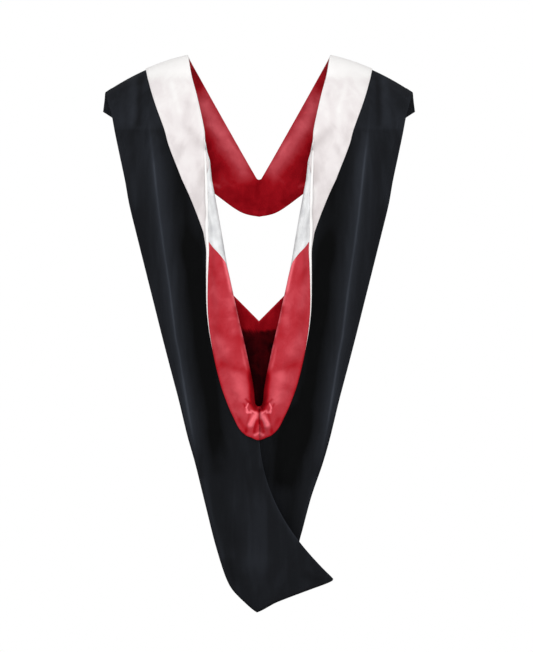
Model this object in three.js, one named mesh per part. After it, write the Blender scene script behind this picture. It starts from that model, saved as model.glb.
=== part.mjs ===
// An academic hood as it hangs on the shoulders, seen from the wearer's back along +Y.
// Millimetres, +Z up, -X the wearer's left, +Y the wearer's front.
// The origin lies midway between the two points where the neck edge crosses the shoulder crest.
// Each half is one black panel from the centre front, over the shoulder and down the back.
// Its inner edge is turned out as a collar that shows the satin lining.
import * as THREE from 'three';

// Main sizes
const hoodLength = 914; // shoulder crest down to the tip of the tail
const shoulderWidth = 504; // from one shoulder tip to the other
const neckWidth = 238; // across the neck edge at the shoulder crest
const shoulderFall = 59; // the shoulder tips lie this far below the neck edge
const frontDrop = 260; // crest down to the lower point of the front V
const cowlDrop = 575; // crest down to the fold of the collar at the centre back
const backVDrop = 437; // crest down to the point of the back layer's V
const collarWidth = 50; // of the collar where it is turned out in full
const trimWidth = 67; // of the pale trim at the shoulder crest

// The wearer's form that the cloth lies on
const chestDepth = 104; // crest forward to the chest
const chestHeight = 170; // crest down to the fullest part of the chest
const backDepth = 116; // crest back to the shoulder blades
const backHeight = 190; // crest down to the fullest part of the back
const sideFlatness = 0.38; // share of the depth that is gone at a shoulder tip

// Layers
const clothThickness = 1.6;
const liningThickness = 1.2;
const trimThickness = 1.6;
const sewnGap = 0.35; // between two layers, and across each seam
const rollRadius = 7; // of the collar's fold where it is full, at the middle of its cloth
const startRadius = 3.8; // of the fold where the collar starts to turn
const edgeLift = 8.5; // collar's free edge above the panel that it lies on
const collarPuff = 3; // how far the collar stands up between its fold and its edge
const cordDiameter = 5.8; // of the cord along the collar's free edge
const pouchDepth = 13; // between the two layers of the back, away from the sides
const mouthDepth = 26; // added to it at the collar
const mouthReach = 150; // from the collar's fold to where that has gone
const foldHeight = 8; // of the long soft fold that runs down each side
const flapLift = 5.5; // of the left half where it laps over the right one
const flapSink = 3.5; // of the right half there

const halfShoulder = shoulderWidth / 2;
const halfNeck = neckWidth / 2;

function table(columns, rows) {
  return rows.map((row) => Object.fromEntries(columns.map((name, k) => [name, row[k]])));
}

// One row for each section of a half, from the centre front over the crest to the tail.
// inner: inner fold or edge, across as a share of half the neck width.
// innerDrop: below the crest, a share of frontDrop in front and of cowlDrop behind.
// side: outer edge, across as a share of half the shoulder width.
// sideDrop: below the crest, a share of frontDrop in front and of hoodLength behind.
// collar: visible width as a share of collarWidth, and slope: its direction in degrees, + is down.
// trim: width as a share of trimWidth. pouch, mouth: shares of the depths with those names.
// ridge: place of the long fold, as a share of the way from the side to the inner edge.
const sectionColumns = ['name', 'inner', 'innerDrop', 'side', 'sideDrop', 'collar', 'slope', 'trim',
  'pouch', 'mouth', 'ridge', 'ridgeHeight'];
const frontAndYoke = [
  ['centre front', 0.0015, 0.785, 0.0007, 1.0, 0, 0, 0.34, 0, 0, 0.5, 0],
  ['front low', 0.181, 0.652, 0.125, 0.968, 0, 0, 0.62, 0, 0, 0.5, 0],
  ['front middle', 0.389, 0.487, 0.302, 0.845, 0, 0, 0.86, 0, 0, 0.5, 0],
  ['front high', 0.611, 0.31, 0.518, 0.685, 0, 0, 0.94, 0, 0, 0.5, 0],
  ['front shoulder', 0.792, 0.165, 0.768, 0.416, 0, 0, 0.98, 0, 0, 0.5, 0],
  ['front corner', 0.917, 0.066, 1.02, 0.104, 0, 0, 1.0, 0, 0, 0.5, 0],
  ['front crest', 0.979, 0.016, 1.009, 0.039, 0, 0, 1.0, 0, 0, 0.5, 0],
  ['shoulder crest', 1.0, 0, 1.0, 0, 0, 0, 1.0, 0, 0, 0.5, 0],
  ['back crest', 0.979, 0.017, 0.991, 0.012, 0, 0, 1.0, 0, 0, 0.5, 0],
  ['yoke high', 0.938, 0.06, 0.974, 0.03, 0, 0, 0.98, 0, 0, 0.49, 0.15],
  ['yoke middle', 0.861, 0.118, 0.955, 0.051, 0, 0, 0.96, 0, 0, 0.48, 0.4],
  ['yoke low', 0.77, 0.204, 0.932, 0.086, 0, 0, 0.89, 0, 0, 0.46, 0.7],
  ['collar start', 0.73, 0.267, 0.906, 0.123, 0, -10, 0.79, 0.1, 0.05, 0.44, 0.9],
];
const collarAndPouch = [
  ['collar 1', 0.639, 0.347, 0.866, 0.18, 0.1, -18, 0.6, 0.35, 0.2, 0.42, 1],
  ['collar 2', 0.569, 0.419, 0.837, 0.229, 0.235, -31, 0.47, 0.6, 0.4, 0.4, 1],
  ['collar 3', 0.493, 0.502, 0.784, 0.296, 0.455, -35, 0.34, 0.85, 0.6, 0.38, 1],
  ['seam', 0.424, 0.588, 0.728, 0.365, 0.68, -43, 0.25, 1, 0.8, 0.36, 1],
  ['collar 4', 0.368, 0.643, 0.682, 0.421, 0.8, -37, 0.18, 1, 0.95, 0.34, 1],
  ['collar 5', 0.312, 0.697, 0.63, 0.484, 0.86, -23, 0.16, 1, 1, 0.31, 1],
  ['collar 6', 0.25, 0.758, 0.577, 0.546, 0.92, -4, 0.2, 1, 1, 0.27, 1],
  ['collar 7', 0.188, 0.815, 0.518, 0.616, 0.97, 9, 0.27, 1, 1, 0.22, 0.9],
  ['collar 8', 0.132, 0.872, 0.466, 0.681, 0.98, 11, 0.35, 1, 1, 0.17, 0.8],
  ['collar 9', 0.09, 0.918, 0.413, 0.733, 0.95, 16, 0.43, 1, 0.95, 0.13, 0.6],
];
const leftTail = [
  ['collar 10', 0.065, 0.953, 0.348, 0.805, 0.9, 30, 0.5, 1, 0.9, 0.1, 0.4],
  ['collar 11', 0.056, 0.973, 0.276, 0.884, 0.89, 46, 0.57, 1, 0.85, 0.1, 0.2],
  ['tail corner', 0.047, 0.987, 0.197, 0.946, 0.95, 61, 0.64, 1, 0.8, 0.1, 0],
  ['tail slope', 0.038, 0.992, 0.118, 0.975, 1.02, 74, 0.7, 1, 0.75, 0.1, 0],
  ['tail tip', 0.029, 0.995, 0.013, 1.0, 1.06, 82, 0.7, 1, 0.7, 0.1, 0],
  ['hem low', 0.02, 0.998, -0.105, 0.983, 1.09, 85, 0.7, 1, 0.7, 0.1, 0],
  ['hem high', 0.011, 0.999, -0.302, 0.962, 1.12, 88, 0.7, 1, 0.7, 0.1, 0],
  ['flap edge', 0.003, 1.0, -0.492, 0.943, 1.13, 90, 0.7, 1, 0.7, 0.1, 0],
];
const rightTail = [
  ['collar 10', 0.065, 0.953, 0.335, 0.794, 0.9, 30, 0.5, 0.8, 0.9, 0.1, 0.4],
  ['collar 11', 0.056, 0.973, 0.269, 0.861, 0.89, 46, 0.57, 0.5, 0.85, 0.1, 0.2],
  ['tail corner', 0.047, 0.987, 0.23, 0.894, 0.95, 61, 0.64, 0.3, 0.8, 0.1, 0],
  ['tail slope', 0.038, 0.992, 0.151, 0.895, 1.02, 74, 0.7, 0.3, 0.75, 0.1, 0],
  ['tail tip', 0.029, 0.995, 0.079, 0.894, 1.06, 82, 0.7, 0.3, 0.7, 0.1, 0],
  ['hem low', 0.02, 0.998, 0.032, 0.894, 1.09, 85, 0.7, 0.3, 0.7, 0.1, 0],
  ['hem high', 0.011, 0.999, 0.0, 0.894, 1.12, 88, 0.7, 0.3, 0.7, 0.1, 0],
  ['tucked edge', 0.003, 1.0, -0.033, 0.894, 1.13, 90, 0.7, 0.3, 0.7, 0.1, 0],
];
const leftSections = table(sectionColumns, [...frontAndYoke, ...collarAndPouch, ...leftTail]);
const rightSections = table(sectionColumns, [...frontAndYoke, ...collarAndPouch, ...rightTail]);
const indexOf = (name) => leftSections.findIndex((section) => section.name === name);
const crestIndex = indexOf('shoulder crest');
const collarIndex = indexOf('collar start');
const seamIndex = indexOf('seam');
const trimEndIndex = indexOf('collar 5');
const fullIndex = indexOf('collar 4');
const cordEndIndex = indexOf('collar 7') + 0.2;
const pouchIndex = indexOf('collar 1') + 0.4; // side sections from here on are closed by the back layer
const cornerIndex = indexOf('tail corner');
const tipIndex = indexOf('tail tip');
const lastIndex = leftSections.length - 1;

// The sections of the tail swing round the centre back through one bend.
const bendAcross = { left: 0.046, right: 0.007 }; // share of half the shoulder width
const bendDrop = { left: 0.814, right: 0.745 }; // share of hoodLength

const clamp01 = (value) => Math.min(1, Math.max(0, value));
const smooth = (value) => clamp01(value) ** 2 * (3 - 2 * clamp01(value));
const mix = (a, b, share) => a + (b - a) * share;

// The fall of the shoulder crest at a distance across from the centre.
function crestFall(across) {
  const share = Math.max(0, (Math.abs(across) - halfNeck) / (halfShoulder - halfNeck));
  return shoulderFall * (share + share * share) / 2;
}

// A section between two rows of the table, as a smooth curve through every column.
function sectionAt(sections, index) {
  const low = Math.min(Math.floor(index), sections.length - 2);
  const share = index - low;
  const rows = [-1, 0, 1, 2].map((step) =>
    sections[Math.min(sections.length - 1, Math.max(0, low + step))]);
  const section = {};
  for (const key of Object.keys(sections[0])) {
    if (key === 'name') continue;
    const [a, b, c, d] = rows.map((row) => row[key]);
    section[key] = share === 0 ? b : b + share * ((c - a) / 2 + share * (a - 2.5 * b + 2 * c - d / 2
      + share * (1.5 * (b - c) + (d - a) / 2)));
  }
  return section;
}

// The body form's point at a place across and below the crest line, moved out by lift along its normal.
// facing is +1 for the wearer's front and -1 for the back.
function onBody(across, below, facing, lift) {
  const front = facing > 0;
  const depth = front ? chestDepth : backDepth;
  const height = front ? chestHeight : backHeight;
  const drop = Math.max(0, below);
  const share = Math.min(1, drop / height);
  const flat = 1 - sideFlatness * (across / halfShoulder) ** 2;
  const rise = (1 - (1 - share) ** 2) ** 0.65;
  const step = 0.01;
  const steepShare = Math.max(step, share);
  const steepness = 1 - (1 - steepShare) ** 2;
  const slope = share < 1 ? 0.65 * steepness ** -0.35 * 2 * (1 - steepShare) / height : 0;
  const crestSlope = (crestFall(across + 1) - crestFall(across - 1)) / 2;
  const normal = new THREE.Vector3(
    depth * (2 * sideFlatness * across / halfShoulder ** 2 * rise + flat * slope * crestSlope),
    facing,
    depth * flat * slope,
  ).normalize();
  return new THREE.Vector3(across, facing * depth * flat * rise, -crestFall(across) - drop)
    .addScaledVector(normal, lift);
}

// The plan of one section: its side point, its fold centre and the way between them, across and up.
function planOf(section, index, hand) {
  const front = index < crestIndex;
  const innerAcross = section.inner * halfNeck;
  const inner = new THREE.Vector2(innerAcross,
    -crestFall(innerAcross) - section.innerDrop * (front ? frontDrop : cowlDrop));
  const sideAcross = section.side * halfShoulder;
  const side = new THREE.Vector2(sideAcross,
    -crestFall(sideAcross) - section.sideDrop * (front ? frontDrop : hoodLength));
  const angle = THREE.MathUtils.degToRad(section.slope);
  const outward = new THREE.Vector2(Math.cos(angle), -Math.sin(angle));
  const radius = mix(startRadius, rollRadius, smooth((index - collarIndex) / (fullIndex - collarIndex)));
  const visible = section.collar * collarWidth;
  const turned = visible / (1.3 * radius);
  const rolled = index > collarIndex ? visible + (Math.PI - 1) * radius * smooth(turned) : 0;
  const centre = inner.clone()
    .addScaledVector(outward, (radius + liningThickness + sewnGap) * clamp01(turned));
  const bend = new THREE.Vector2(bendAcross[hand] * halfShoulder, -bendDrop[hand] * hoodLength);
  const tail = smooth((index - cornerIndex) / (tipIndex - cornerIndex));
  const control = side.clone().add(centre).multiplyScalar(0.5).lerp(bend, tail);
  const way = new THREE.QuadraticBezierCurve(side, control, centre);
  return { side, centre, outward, radius, rolled, way, width: way.getLength(), front };
}

// How far the cloth's middle stands off the body form, at a distance from the fold.
function standoff(section, index, fromFold, width) {
  const closed = smooth((index - crestIndex) / (pouchIndex - crestIndex));
  const bodyLayers = clothThickness + liningThickness + 2 * sewnGap;
  const base = liningThickness + sewnGap + 0.5 + closed * bodyLayers;
  const fromSide = width - fromFold;
  const sideRound = 1 - Math.exp(-fromSide / 24);
  const pouch = section.pouch * pouchDepth * sideRound;
  const mouth = section.mouth * mouthDepth * (1 - smooth(fromFold / mouthReach)) * smooth(fromSide / 60);
  const ridgeWidth = 17;
  const offRidge = (fromSide - section.ridge * width) / ridgeWidth;
  const ridge = section.ridgeHeight * foldHeight * Math.exp(-offRidge * offRidge) * sideRound;
  return base + pouch + mouth + ridge;
}

// Columns across a half: side to trim, the trim, the margin, and the turned part up to the free edge.
const sideColumns = 4;
const trimColumns = 2;
const marginColumns = 2;
const turnedShares = [0, 0.1, 0.2, 0.3, 0.4, 0.6, 0.8, 1];
const trimColumn = sideColumns;
const marginColumn = trimColumn + trimColumns;
const foldColumn = marginColumn + marginColumns;
const edgeColumn = foldColumn + turnedShares.length - 1;
const marginWidth = 16;

// A place on the cloth of one section: reach is measured from the fold, below 0 on the panel.
function sectionPoint(half, index, reachOf) {
  const section = sectionAt(half.sections, index);
  const plan = planOf(section, index, half.hand);
  const reach = reachOf(plan, section);
  const { radius } = plan;
  const turn = Math.min(Math.PI, Math.max(0, reach) / radius);
  const flat = Math.max(0, reach - Math.PI * radius);
  const flatPart = clamp01(flat / Math.max(collarWidth / 3, plan.rolled - Math.PI * radius));
  const fromFold = reach < 0 ? -reach : flat;
  let place = plan.way.getPointAt(clamp01(1 - fromFold / plan.width));
  let lift = 0;
  if (reach > 0) {
    place = plan.centre.clone().addScaledVector(plan.outward, flat - radius * Math.sin(turn));
    lift = radius * (1 - Math.cos(turn)) + collarPuff * Math.sin(Math.PI * flatPart) ** 2
      - Math.max(0, 2 * radius - edgeLift) * smooth(flatPart);
  }
  const below = -place.y - crestFall(place.x);
  const lapped = (half.hand === 'left' ? flapLift : -flapSink) * overlap(place, plan.width - fromFold);
  const off = standoff(section, index, fromFold, plan.width) + lift + lapped;
  const point = onBody(place.x, below, plan.front ? 1 : -1, off);
  point.x *= half.sign;
  return point;
}

// 1 where the left half lies over the right one below the collar, 0 elsewhere.
function overlap(place, fromSide) {
  const lapTop = cowlDrop + 15;
  const lapFade = 40;
  const acrossFade = 30;
  const hemFade = 38;
  const hemClear = 22;
  return smooth((-place.y - lapTop) / lapFade) * smooth(1.4 - place.x / acrossFade)
    * smooth((fromSide - hemClear) / hemFade);
}

// The reach of a column, 0 at the side edge.
function columnReach(plan, section, column) {
  const trimEdge = -Math.max(section.trim * trimWidth, marginWidth + 6);
  if (column <= trimColumn) return mix(-plan.width, trimEdge, column / trimColumn);
  if (column <= marginColumn) return mix(trimEdge, -marginWidth, (column - trimColumn) / trimColumns);
  if (column <= foldColumn) return -marginWidth * (foldColumn - column) / marginColumns;
  const evenShare = turnedShares[column - foldColumn];
  const turnLength = Math.PI * plan.radius;
  if (plan.rolled <= turnLength) return evenShare * plan.rolled;
  const turned = 4; // columns of the turn itself
  const beyond = column - foldColumn;
  if (beyond <= turned) return turnLength * beyond / turned;
  return mix(turnLength, plan.rolled, (beyond - turned) / (turnedShares.length - 1 - turned));
}

const leftHalf = { hand: 'left', sign: -1, sections: leftSections };
const rightHalf = { hand: 'right', sign: 1, sections: rightSections };

const range = (first, last, steps) =>
  Array.from({ length: steps + 1 }, (_, k) => mix(first, last, k / steps));

// A grid of middle points with their normals, which point away from the wearer on the panel.
// A row may end early: the columns after its last one all stand for that last point.
function gridOf(rows, columns, sign, lastOf, pointAt) {
  const lasts = rows.map(lastOf);
  const points = rows.map((row, i) => columns.map((column, j) => pointAt(row, columns[Math.min(j, lasts[i])])));
  const normals = points.map((line, i) => line.map((point, j) => {
    const own = Math.min(j, lasts[i]);
    const before = points[Math.max(0, i - 1)][j];
    const after = points[Math.min(rows.length - 1, i + 1)][j];
    const inward = line[Math.min(lasts[i], own + 1)];
    const outward = line[Math.max(0, own - 1)];
    return after.clone().sub(before).cross(inward.clone().sub(outward)).multiplyScalar(-sign).normalize();
  }));
  return { rows, columns, sign, lasts, points, normals };
}

// The part of a grid between given rows and columns, on the same facets.
function cutGrid(grid, rows, columnsAt) {
  const seat = (stops, value) => {
    const low = Math.max(0, Math.min(stops.length - 2, stops.findLastIndex((stop) => stop <= value)));
    return [low, (value - stops[low]) / (stops[low + 1] - stops[low])];
  };
  const pick = (lines, row, column) => {
    const [i, down] = seat(grid.rows, row);
    const [j, across] = seat(grid.columns, column);
    const upper = lines[i][j].clone().lerp(lines[i][j + 1], across);
    return upper.lerp(lines[i + 1][j].clone().lerp(lines[i + 1][j + 1], across), down);
  };
  const lasts = rows.map((row) => {
    const last = grid.columns[grid.lasts[seat(grid.rows, row)[0]]];
    const own = columnsAt(row).findIndex((column) => column >= last);
    return own < 0 ? columnsAt(row).length - 1 : own;
  });
  const points = rows.map((row) => columnsAt(row).map((column) => pick(grid.points, row, column)));
  const normals = rows.map((row) => columnsAt(row).map((column) =>
    pick(grid.normals, row, column).normalize()));
  return { sign: grid.sign, lasts, points, normals };
}

// A closed wall of cloth between two offsets from a grid's middle points.
// Above seamEnd each half keeps to its own side of the centre.
function wallGeometry(grid, [from, to], seamEnd) {
  const { points, normals, lasts, sign } = grid;
  const rows = points.length;
  const columns = points[0].length;
  const positions = [];
  for (const offset of [from, to]) {
    points.forEach((line, i) => line.forEach((point, j) => {
      const own = Math.min(j, lasts[i]);
      const placed = line[own].clone().addScaledVector(normals[i][own], offset);
      if (placed.z > -seamEnd) placed.x = Math.max(placed.x * sign, sewnGap / 2) * sign;
      positions.push(...placed.toArray());
    }));
  }
  const inner = (i, j) => i * columns + Math.min(j, lasts[i]);
  const outer = (i, j) => rows * columns + inner(i, j);
  const triangles = [];
  const quad = (a, b, c, d) => {
    for (const [p, q, r] of [[a, b, c], [a, c, d]]) {
      if (p !== q && q !== r && r !== p) triangles.push(p, q, r);
    }
  };
  for (let i = 0; i < rows - 1; i += 1) {
    for (let j = 0; j < columns - 1; j += 1) {
      quad(outer(i, j), outer(i + 1, j), outer(i + 1, j + 1), outer(i, j + 1));
      quad(inner(i, j), inner(i, j + 1), inner(i + 1, j + 1), inner(i + 1, j));
    }
    quad(inner(i, 0), inner(i + 1, 0), outer(i + 1, 0), outer(i, 0));
    const last = columns - 1;
    quad(outer(i, last), outer(i + 1, last), inner(i + 1, last), inner(i, last));
  }
  for (let j = 0; j < columns - 1; j += 1) {
    quad(outer(0, j), outer(0, j + 1), inner(0, j + 1), inner(0, j));
    const last = rows - 1;
    quad(inner(last, j), inner(last, j + 1), outer(last, j + 1), outer(last, j));
  }
  if (sign > 0) triangles.reverse();
  return closedGeometry(positions, triangles);
}

function closedGeometry(positions, triangles) {
  const geometry = new THREE.BufferGeometry();
  geometry.setAttribute('position', new THREE.Float32BufferAttribute(positions, 3));
  geometry.setIndex(triangles);
  geometry.computeVertexNormals();
  return geometry;
}

const clothOffsets = [sewnGap / 2, sewnGap / 2 + clothThickness];
const liningOffsets = [-sewnGap / 2 - liningThickness, -sewnGap / 2];
const trimOffsets = [clothOffsets[1] + sewnGap, clothOffsets[1] + sewnGap + trimThickness];
const collarSeamEnd = cowlDrop + collarWidth + rollRadius;

const allRows = [...range(0, crestIndex - 1, crestIndex - 1), crestIndex - 0.5, crestIndex, crestIndex + 0.5,
  ...range(crestIndex + 1, collarIndex, collarIndex - crestIndex - 1), collarIndex + 0.3,
  collarIndex + 0.55, collarIndex + 0.8,
  ...range(collarIndex + 1, lastIndex, lastIndex - collarIndex - 1)];
const allColumns = range(0, edgeColumn, edgeColumn);
const seamStep = 0.008; // of a section, on each side of a seam across the half

function halfGrid(half) {
  return gridOf(allRows, allColumns, half.sign, (row) => (row > collarIndex ? edgeColumn : foldColumn),
    (row, column) => sectionPoint(half, row, (plan, section) => columnReach(plan, section, column)));
}

function rowsBetween(first, last) {
  return [first, ...allRows.filter((row) => row > first + 0.1 && row < last - 0.1), last];
}

// The lining stays a little inside the side edge, and further inside at the front of the shoulder.
function liningGeometry(grid, first, last) {
  const hemInset = 0.05; // of a column
  const shoulderInset = 0.85;
  const columnsAt = (row) => [row > crestIndex ? hemInset
    : mix(hemInset, shoulderInset, smooth((row - 3) / 1.6)), ...allColumns.slice(1)];
  return wallGeometry(cutGrid(grid, rowsBetween(first, last), columnsAt), liningOffsets, collarSeamEnd);
}

// The trim lies on the panel beside its inner edge, and ends under the collar.
function trimGeometry(grid) {
  const columns = [...range(trimColumn, foldColumn - 1, foldColumn - 1 - trimColumn), foldColumn - 0.1];
  return wallGeometry(cutGrid(grid, rowsBetween(0, trimEndIndex), () => columns), trimOffsets,
    collarSeamEnd);
}

// The cord along the free edge, thin over the shoulder and full along the silver part.
const cordTable = table(['row', 'width'], [
  [crestIndex + 0.02, 0.3], [crestIndex + 0.5, 0.36], [crestIndex + 1, 0.36], [crestIndex + 2, 0.36],
  [crestIndex + 3, 0.36], [crestIndex + 4, 0.36], [collarIndex, 0.42], [collarIndex + 0.3, 0.55],
  [collarIndex + 0.55, 0.65], [collarIndex + 0.8, 0.8], [collarIndex + 1, 0.92], [collarIndex + 2, 1], [collarIndex + 3, 1],
  [seamIndex, 1], [seamIndex + 1, 0.8], [seamIndex + 2, 0.6], [seamIndex + 3, 0.45], [cordEndIndex, 0.3],
]);

function cordGeometry(grid) {
  const sides = 8;
  const lines = cutGrid(grid, cordTable.map(({ row }) => row), () => allColumns);
  const edges = lines.points.map((line, i) => line[lines.lasts[i]].clone()
    .addScaledVector(lines.normals[i][lines.lasts[i]], clothThickness / 2));
  const alongOf = (stops, i) => stops[Math.min(stops.length - 1, i + 1)].clone()
    .sub(stops[Math.max(0, i - 1)]).normalize();
  const centres = lines.points.map((line, i) => {
    const last = lines.lasts[i];
    const along = alongOf(edges, i);
    const beyond = line[last].clone().sub(line[last - 1]);
    beyond.addScaledVector(along, -beyond.dot(along)).normalize();
    const radius = cordTable[i].width * cordDiameter / 2;
    return { centre: edges[i].clone().addScaledVector(beyond, radius + 2 * sewnGap), beyond, radius };
  });
  const positions = [];
  centres.forEach(({ centre, beyond, radius }, i) => {
    const along = alongOf(centres.map((stop) => stop.centre), i);
    const out = beyond.clone().addScaledVector(along, -beyond.dot(along)).normalize();
    const up = along.clone().cross(out);
    for (let k = 0; k < sides; k += 1) {
      const angle = 2 * Math.PI * k / sides;
      positions.push(...centre.clone().addScaledVector(out, radius * Math.cos(angle))
        .addScaledVector(up, radius * Math.sin(angle)).toArray());
    }
  });
  const triangles = [];
  for (let i = 0; i < centres.length - 1; i += 1) {
    for (let k = 0; k < sides; k += 1) {
      const next = (k + 1) % sides;
      const [a, b, c, d] = [i * sides + k, i * sides + next, (i + 1) * sides + next, (i + 1) * sides + k];
      triangles.push(a, b, c, a, c, d);
    }
  }
  const end = (centres.length - 1) * sides;
  for (let k = 1; k < sides - 1; k += 1) {
    triangles.push(0, k + 1, k, end, end + k, end + k + 1);
  }
  return closedGeometry(positions, triangles);
}

// The layer next to the wearer: it closes the pouch, and its top edge is an open V.
const backInset = 5; // inside the outer layer's side edges
const flapInset = 12; // more of it under the flap's edge
const backRows = table(['share', 'place'], [
  [0, 0], [0.09, 0.1], [0.2, 0.21], [0.32, 0.33], [0.44, 0.45], [0.56, 0.57], [0.68, 0.69],
  [0.79, 0.8], [0.88, 0.88], [0.94, 0.94], [1, 1],
]);

function sidePoint(sections, index) {
  const section = sectionAt(sections, index);
  const across = section.side * halfShoulder;
  return new THREE.Vector2(across, -crestFall(across) - section.sideDrop * hoodLength);
}

function backGrid() {
  const meetIndex = cornerIndex - 1; // where the right side passes under the flap's edge
  const flapEnd = sidePoint(leftSections, lastIndex);
  const tip = sidePoint(leftSections, tipIndex);
  const outline = ({ share, place }) => {
    const index = mix(pouchIndex, cornerIndex, place);
    const left = sidePoint(leftSections, index);
    left.x *= -1;
    const underFlap = clamp01(index - meetIndex);
    const right = sidePoint(rightSections, Math.min(index, meetIndex))
      .lerp(new THREE.Vector2(-flapEnd.x, flapEnd.y), underFlap);
    right.x -= flapInset * smooth((index - meetIndex + 0.8) / 0.8);
    const middle = new THREE.Vector2(-tip.x * share, mix(-backVDrop, tip.y + backInset, share));
    return { left, middle, right };
  };
  const pointAt = (row, across) => {
    const { left, middle, right } = outline(row);
    const end = across < 0 ? left : right;
    const length = end.distanceTo(middle);
    const place = middle.clone().lerp(end, Math.abs(across) * (1 - backInset / length));
    return onBody(place.x, -place.y - crestFall(place.x), -1, 0);
  };
  return gridOf(backRows, range(-1, 1, 8), -1, () => 8, pointAt);
}

const cloth = new THREE.MeshStandardMaterial({ color: 0x17191c, roughness: 0.62, metalness: 0 });
const redSatin = new THREE.MeshStandardMaterial({ color: 0xa8101f, roughness: 0.4, metalness: 0 });
const silverSatin = new THREE.MeshStandardMaterial({ color: 0xd5d8da, roughness: 0.4, metalness: 0 });
const paleVelvet = new THREE.MeshStandardMaterial({ color: 0xefe9e8, roughness: 0.85, metalness: 0 });
const paleCord = new THREE.MeshStandardMaterial({ color: 0xf6f3f1, roughness: 0.5, metalness: 0 });

const hood = new THREE.Group();

function add(name, geometry, material) {
  const mesh = new THREE.Mesh(geometry, material);
  mesh.name = name;
  hood.add(mesh);
}

for (const half of [leftHalf, rightHalf]) {
  const { hand } = half;
  const grid = halfGrid(half);
  add(`shell_${hand}`, wallGeometry(grid, clothOffsets, collarSeamEnd), cloth);
  add(`lining_front_${hand}`, liningGeometry(grid, 0, crestIndex - seamStep), redSatin);
  add(`chevron_${hand}`, liningGeometry(grid, crestIndex + seamStep, seamIndex - seamStep), silverSatin);
  add(`lining_${hand}`, liningGeometry(grid, seamIndex + seamStep, lastIndex), redSatin);
  add(`trim_${hand}`, trimGeometry(grid), paleVelvet);
  add(`piping_${hand}`, cordGeometry(grid), paleCord);
}
const backOffsets = [sewnGap / 2, sewnGap / 2 + clothThickness];
const backLiningOffsets = [backOffsets[1] + sewnGap, backOffsets[1] + sewnGap + liningThickness];
add('shell_back', wallGeometry(backGrid(), backOffsets, 0), cloth);
add('lining_back', wallGeometry(backGrid(), backLiningOffsets, 0), redSatin);

export default hood;
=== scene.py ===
import bpy
import numpy as np
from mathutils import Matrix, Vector


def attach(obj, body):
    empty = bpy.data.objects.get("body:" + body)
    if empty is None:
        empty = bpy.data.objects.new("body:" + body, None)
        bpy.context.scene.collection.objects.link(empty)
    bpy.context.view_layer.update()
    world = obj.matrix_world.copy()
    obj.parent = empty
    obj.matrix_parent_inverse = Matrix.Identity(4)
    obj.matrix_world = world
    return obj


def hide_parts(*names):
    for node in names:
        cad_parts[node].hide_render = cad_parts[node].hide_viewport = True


# An academic hood as it hangs on the shoulders, seen from the wearer's back along +Y.
# Shapes are worked out in millimetres and become metres when they are put into a mesh.
# Left is the wearer's left, -X. Each shape is a grid: rows run from the centre front, over the
# shoulder, down to the tail, and columns from the side edge, over the fold, to the collar's edge.

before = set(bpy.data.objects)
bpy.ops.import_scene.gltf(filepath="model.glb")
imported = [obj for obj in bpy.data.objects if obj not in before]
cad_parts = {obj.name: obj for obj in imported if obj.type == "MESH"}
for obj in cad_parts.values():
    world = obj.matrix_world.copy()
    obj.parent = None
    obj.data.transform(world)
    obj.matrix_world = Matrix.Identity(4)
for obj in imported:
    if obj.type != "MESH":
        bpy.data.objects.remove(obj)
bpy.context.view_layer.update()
print("frame loaded:", len(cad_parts), "pieces of cloth")

metre = 0.001
picture = {"pixel": 1.65, "centreX": 259.0, "crestY": 57.0}  # mm a pixel, and the origin's pixel

hood = {
    "length": 914, "shoulderWidth": 504, "neckWidth": 238, "shoulderFall": 59,
    "frontDrop": 260, "cowlDrop": 575, "backVDrop": 437, "collarWidth": 50, "trimWidth": 67,
    "notchShare": 0.774,  # the front V is level below this share of frontDrop
}
body = {
    "chestDepth": 104, "chestHeight": 170, "backDepth": 116, "backHeight": 190, "sideFlatness": 0.38,
    "roundness": 0.65,
}
layer = {"cloth": 1.6, "lining": 1.2, "trim": 1.6, "sewnGap": 0.35}
drape = {
    "rollRadius": 7, "startRadius": 3.8, "edgeLift": 8.5, "collarPuff": 3,
    "pouchDepth": 13, "mouthDepth": 26, "mouthReach": 150, "mouthSide": 60,
    "foldHeight": 8, "foldWidth": 17, "sideRound": 24, "bodyGap": 0.5,
    "collarSwell": 0.35, "collarSwellSize": 26, "panelSwell": 0.5, "panelSwellSize": 90,
}
flap = {  # the left half lifts and the right one sinks where they lap, and its corner is rounded
    "lift": 5.5, "sink": 3.5, "corner": 5,
    "below": 15, "belowSpan": 40, "across": 42, "acrossSpan": 30, "side": 22, "sideSpan": 38,
}
hem = {"rise": 0.4, "depth": 9.0, "slope": 1.6}  # the side edge is turned in once
grain = {  # the longest step between rows in mm, and the steps from one column to the next
    "rowStep": 4.6, "sideSteps": 13, "trimSteps": 8, "marginSteps": 3, "turnSteps": 4, "flatSteps": 7,
}

halfShoulder = hood["shoulderWidth"] / 2
halfNeck = hood["neckWidth"] / 2

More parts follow.
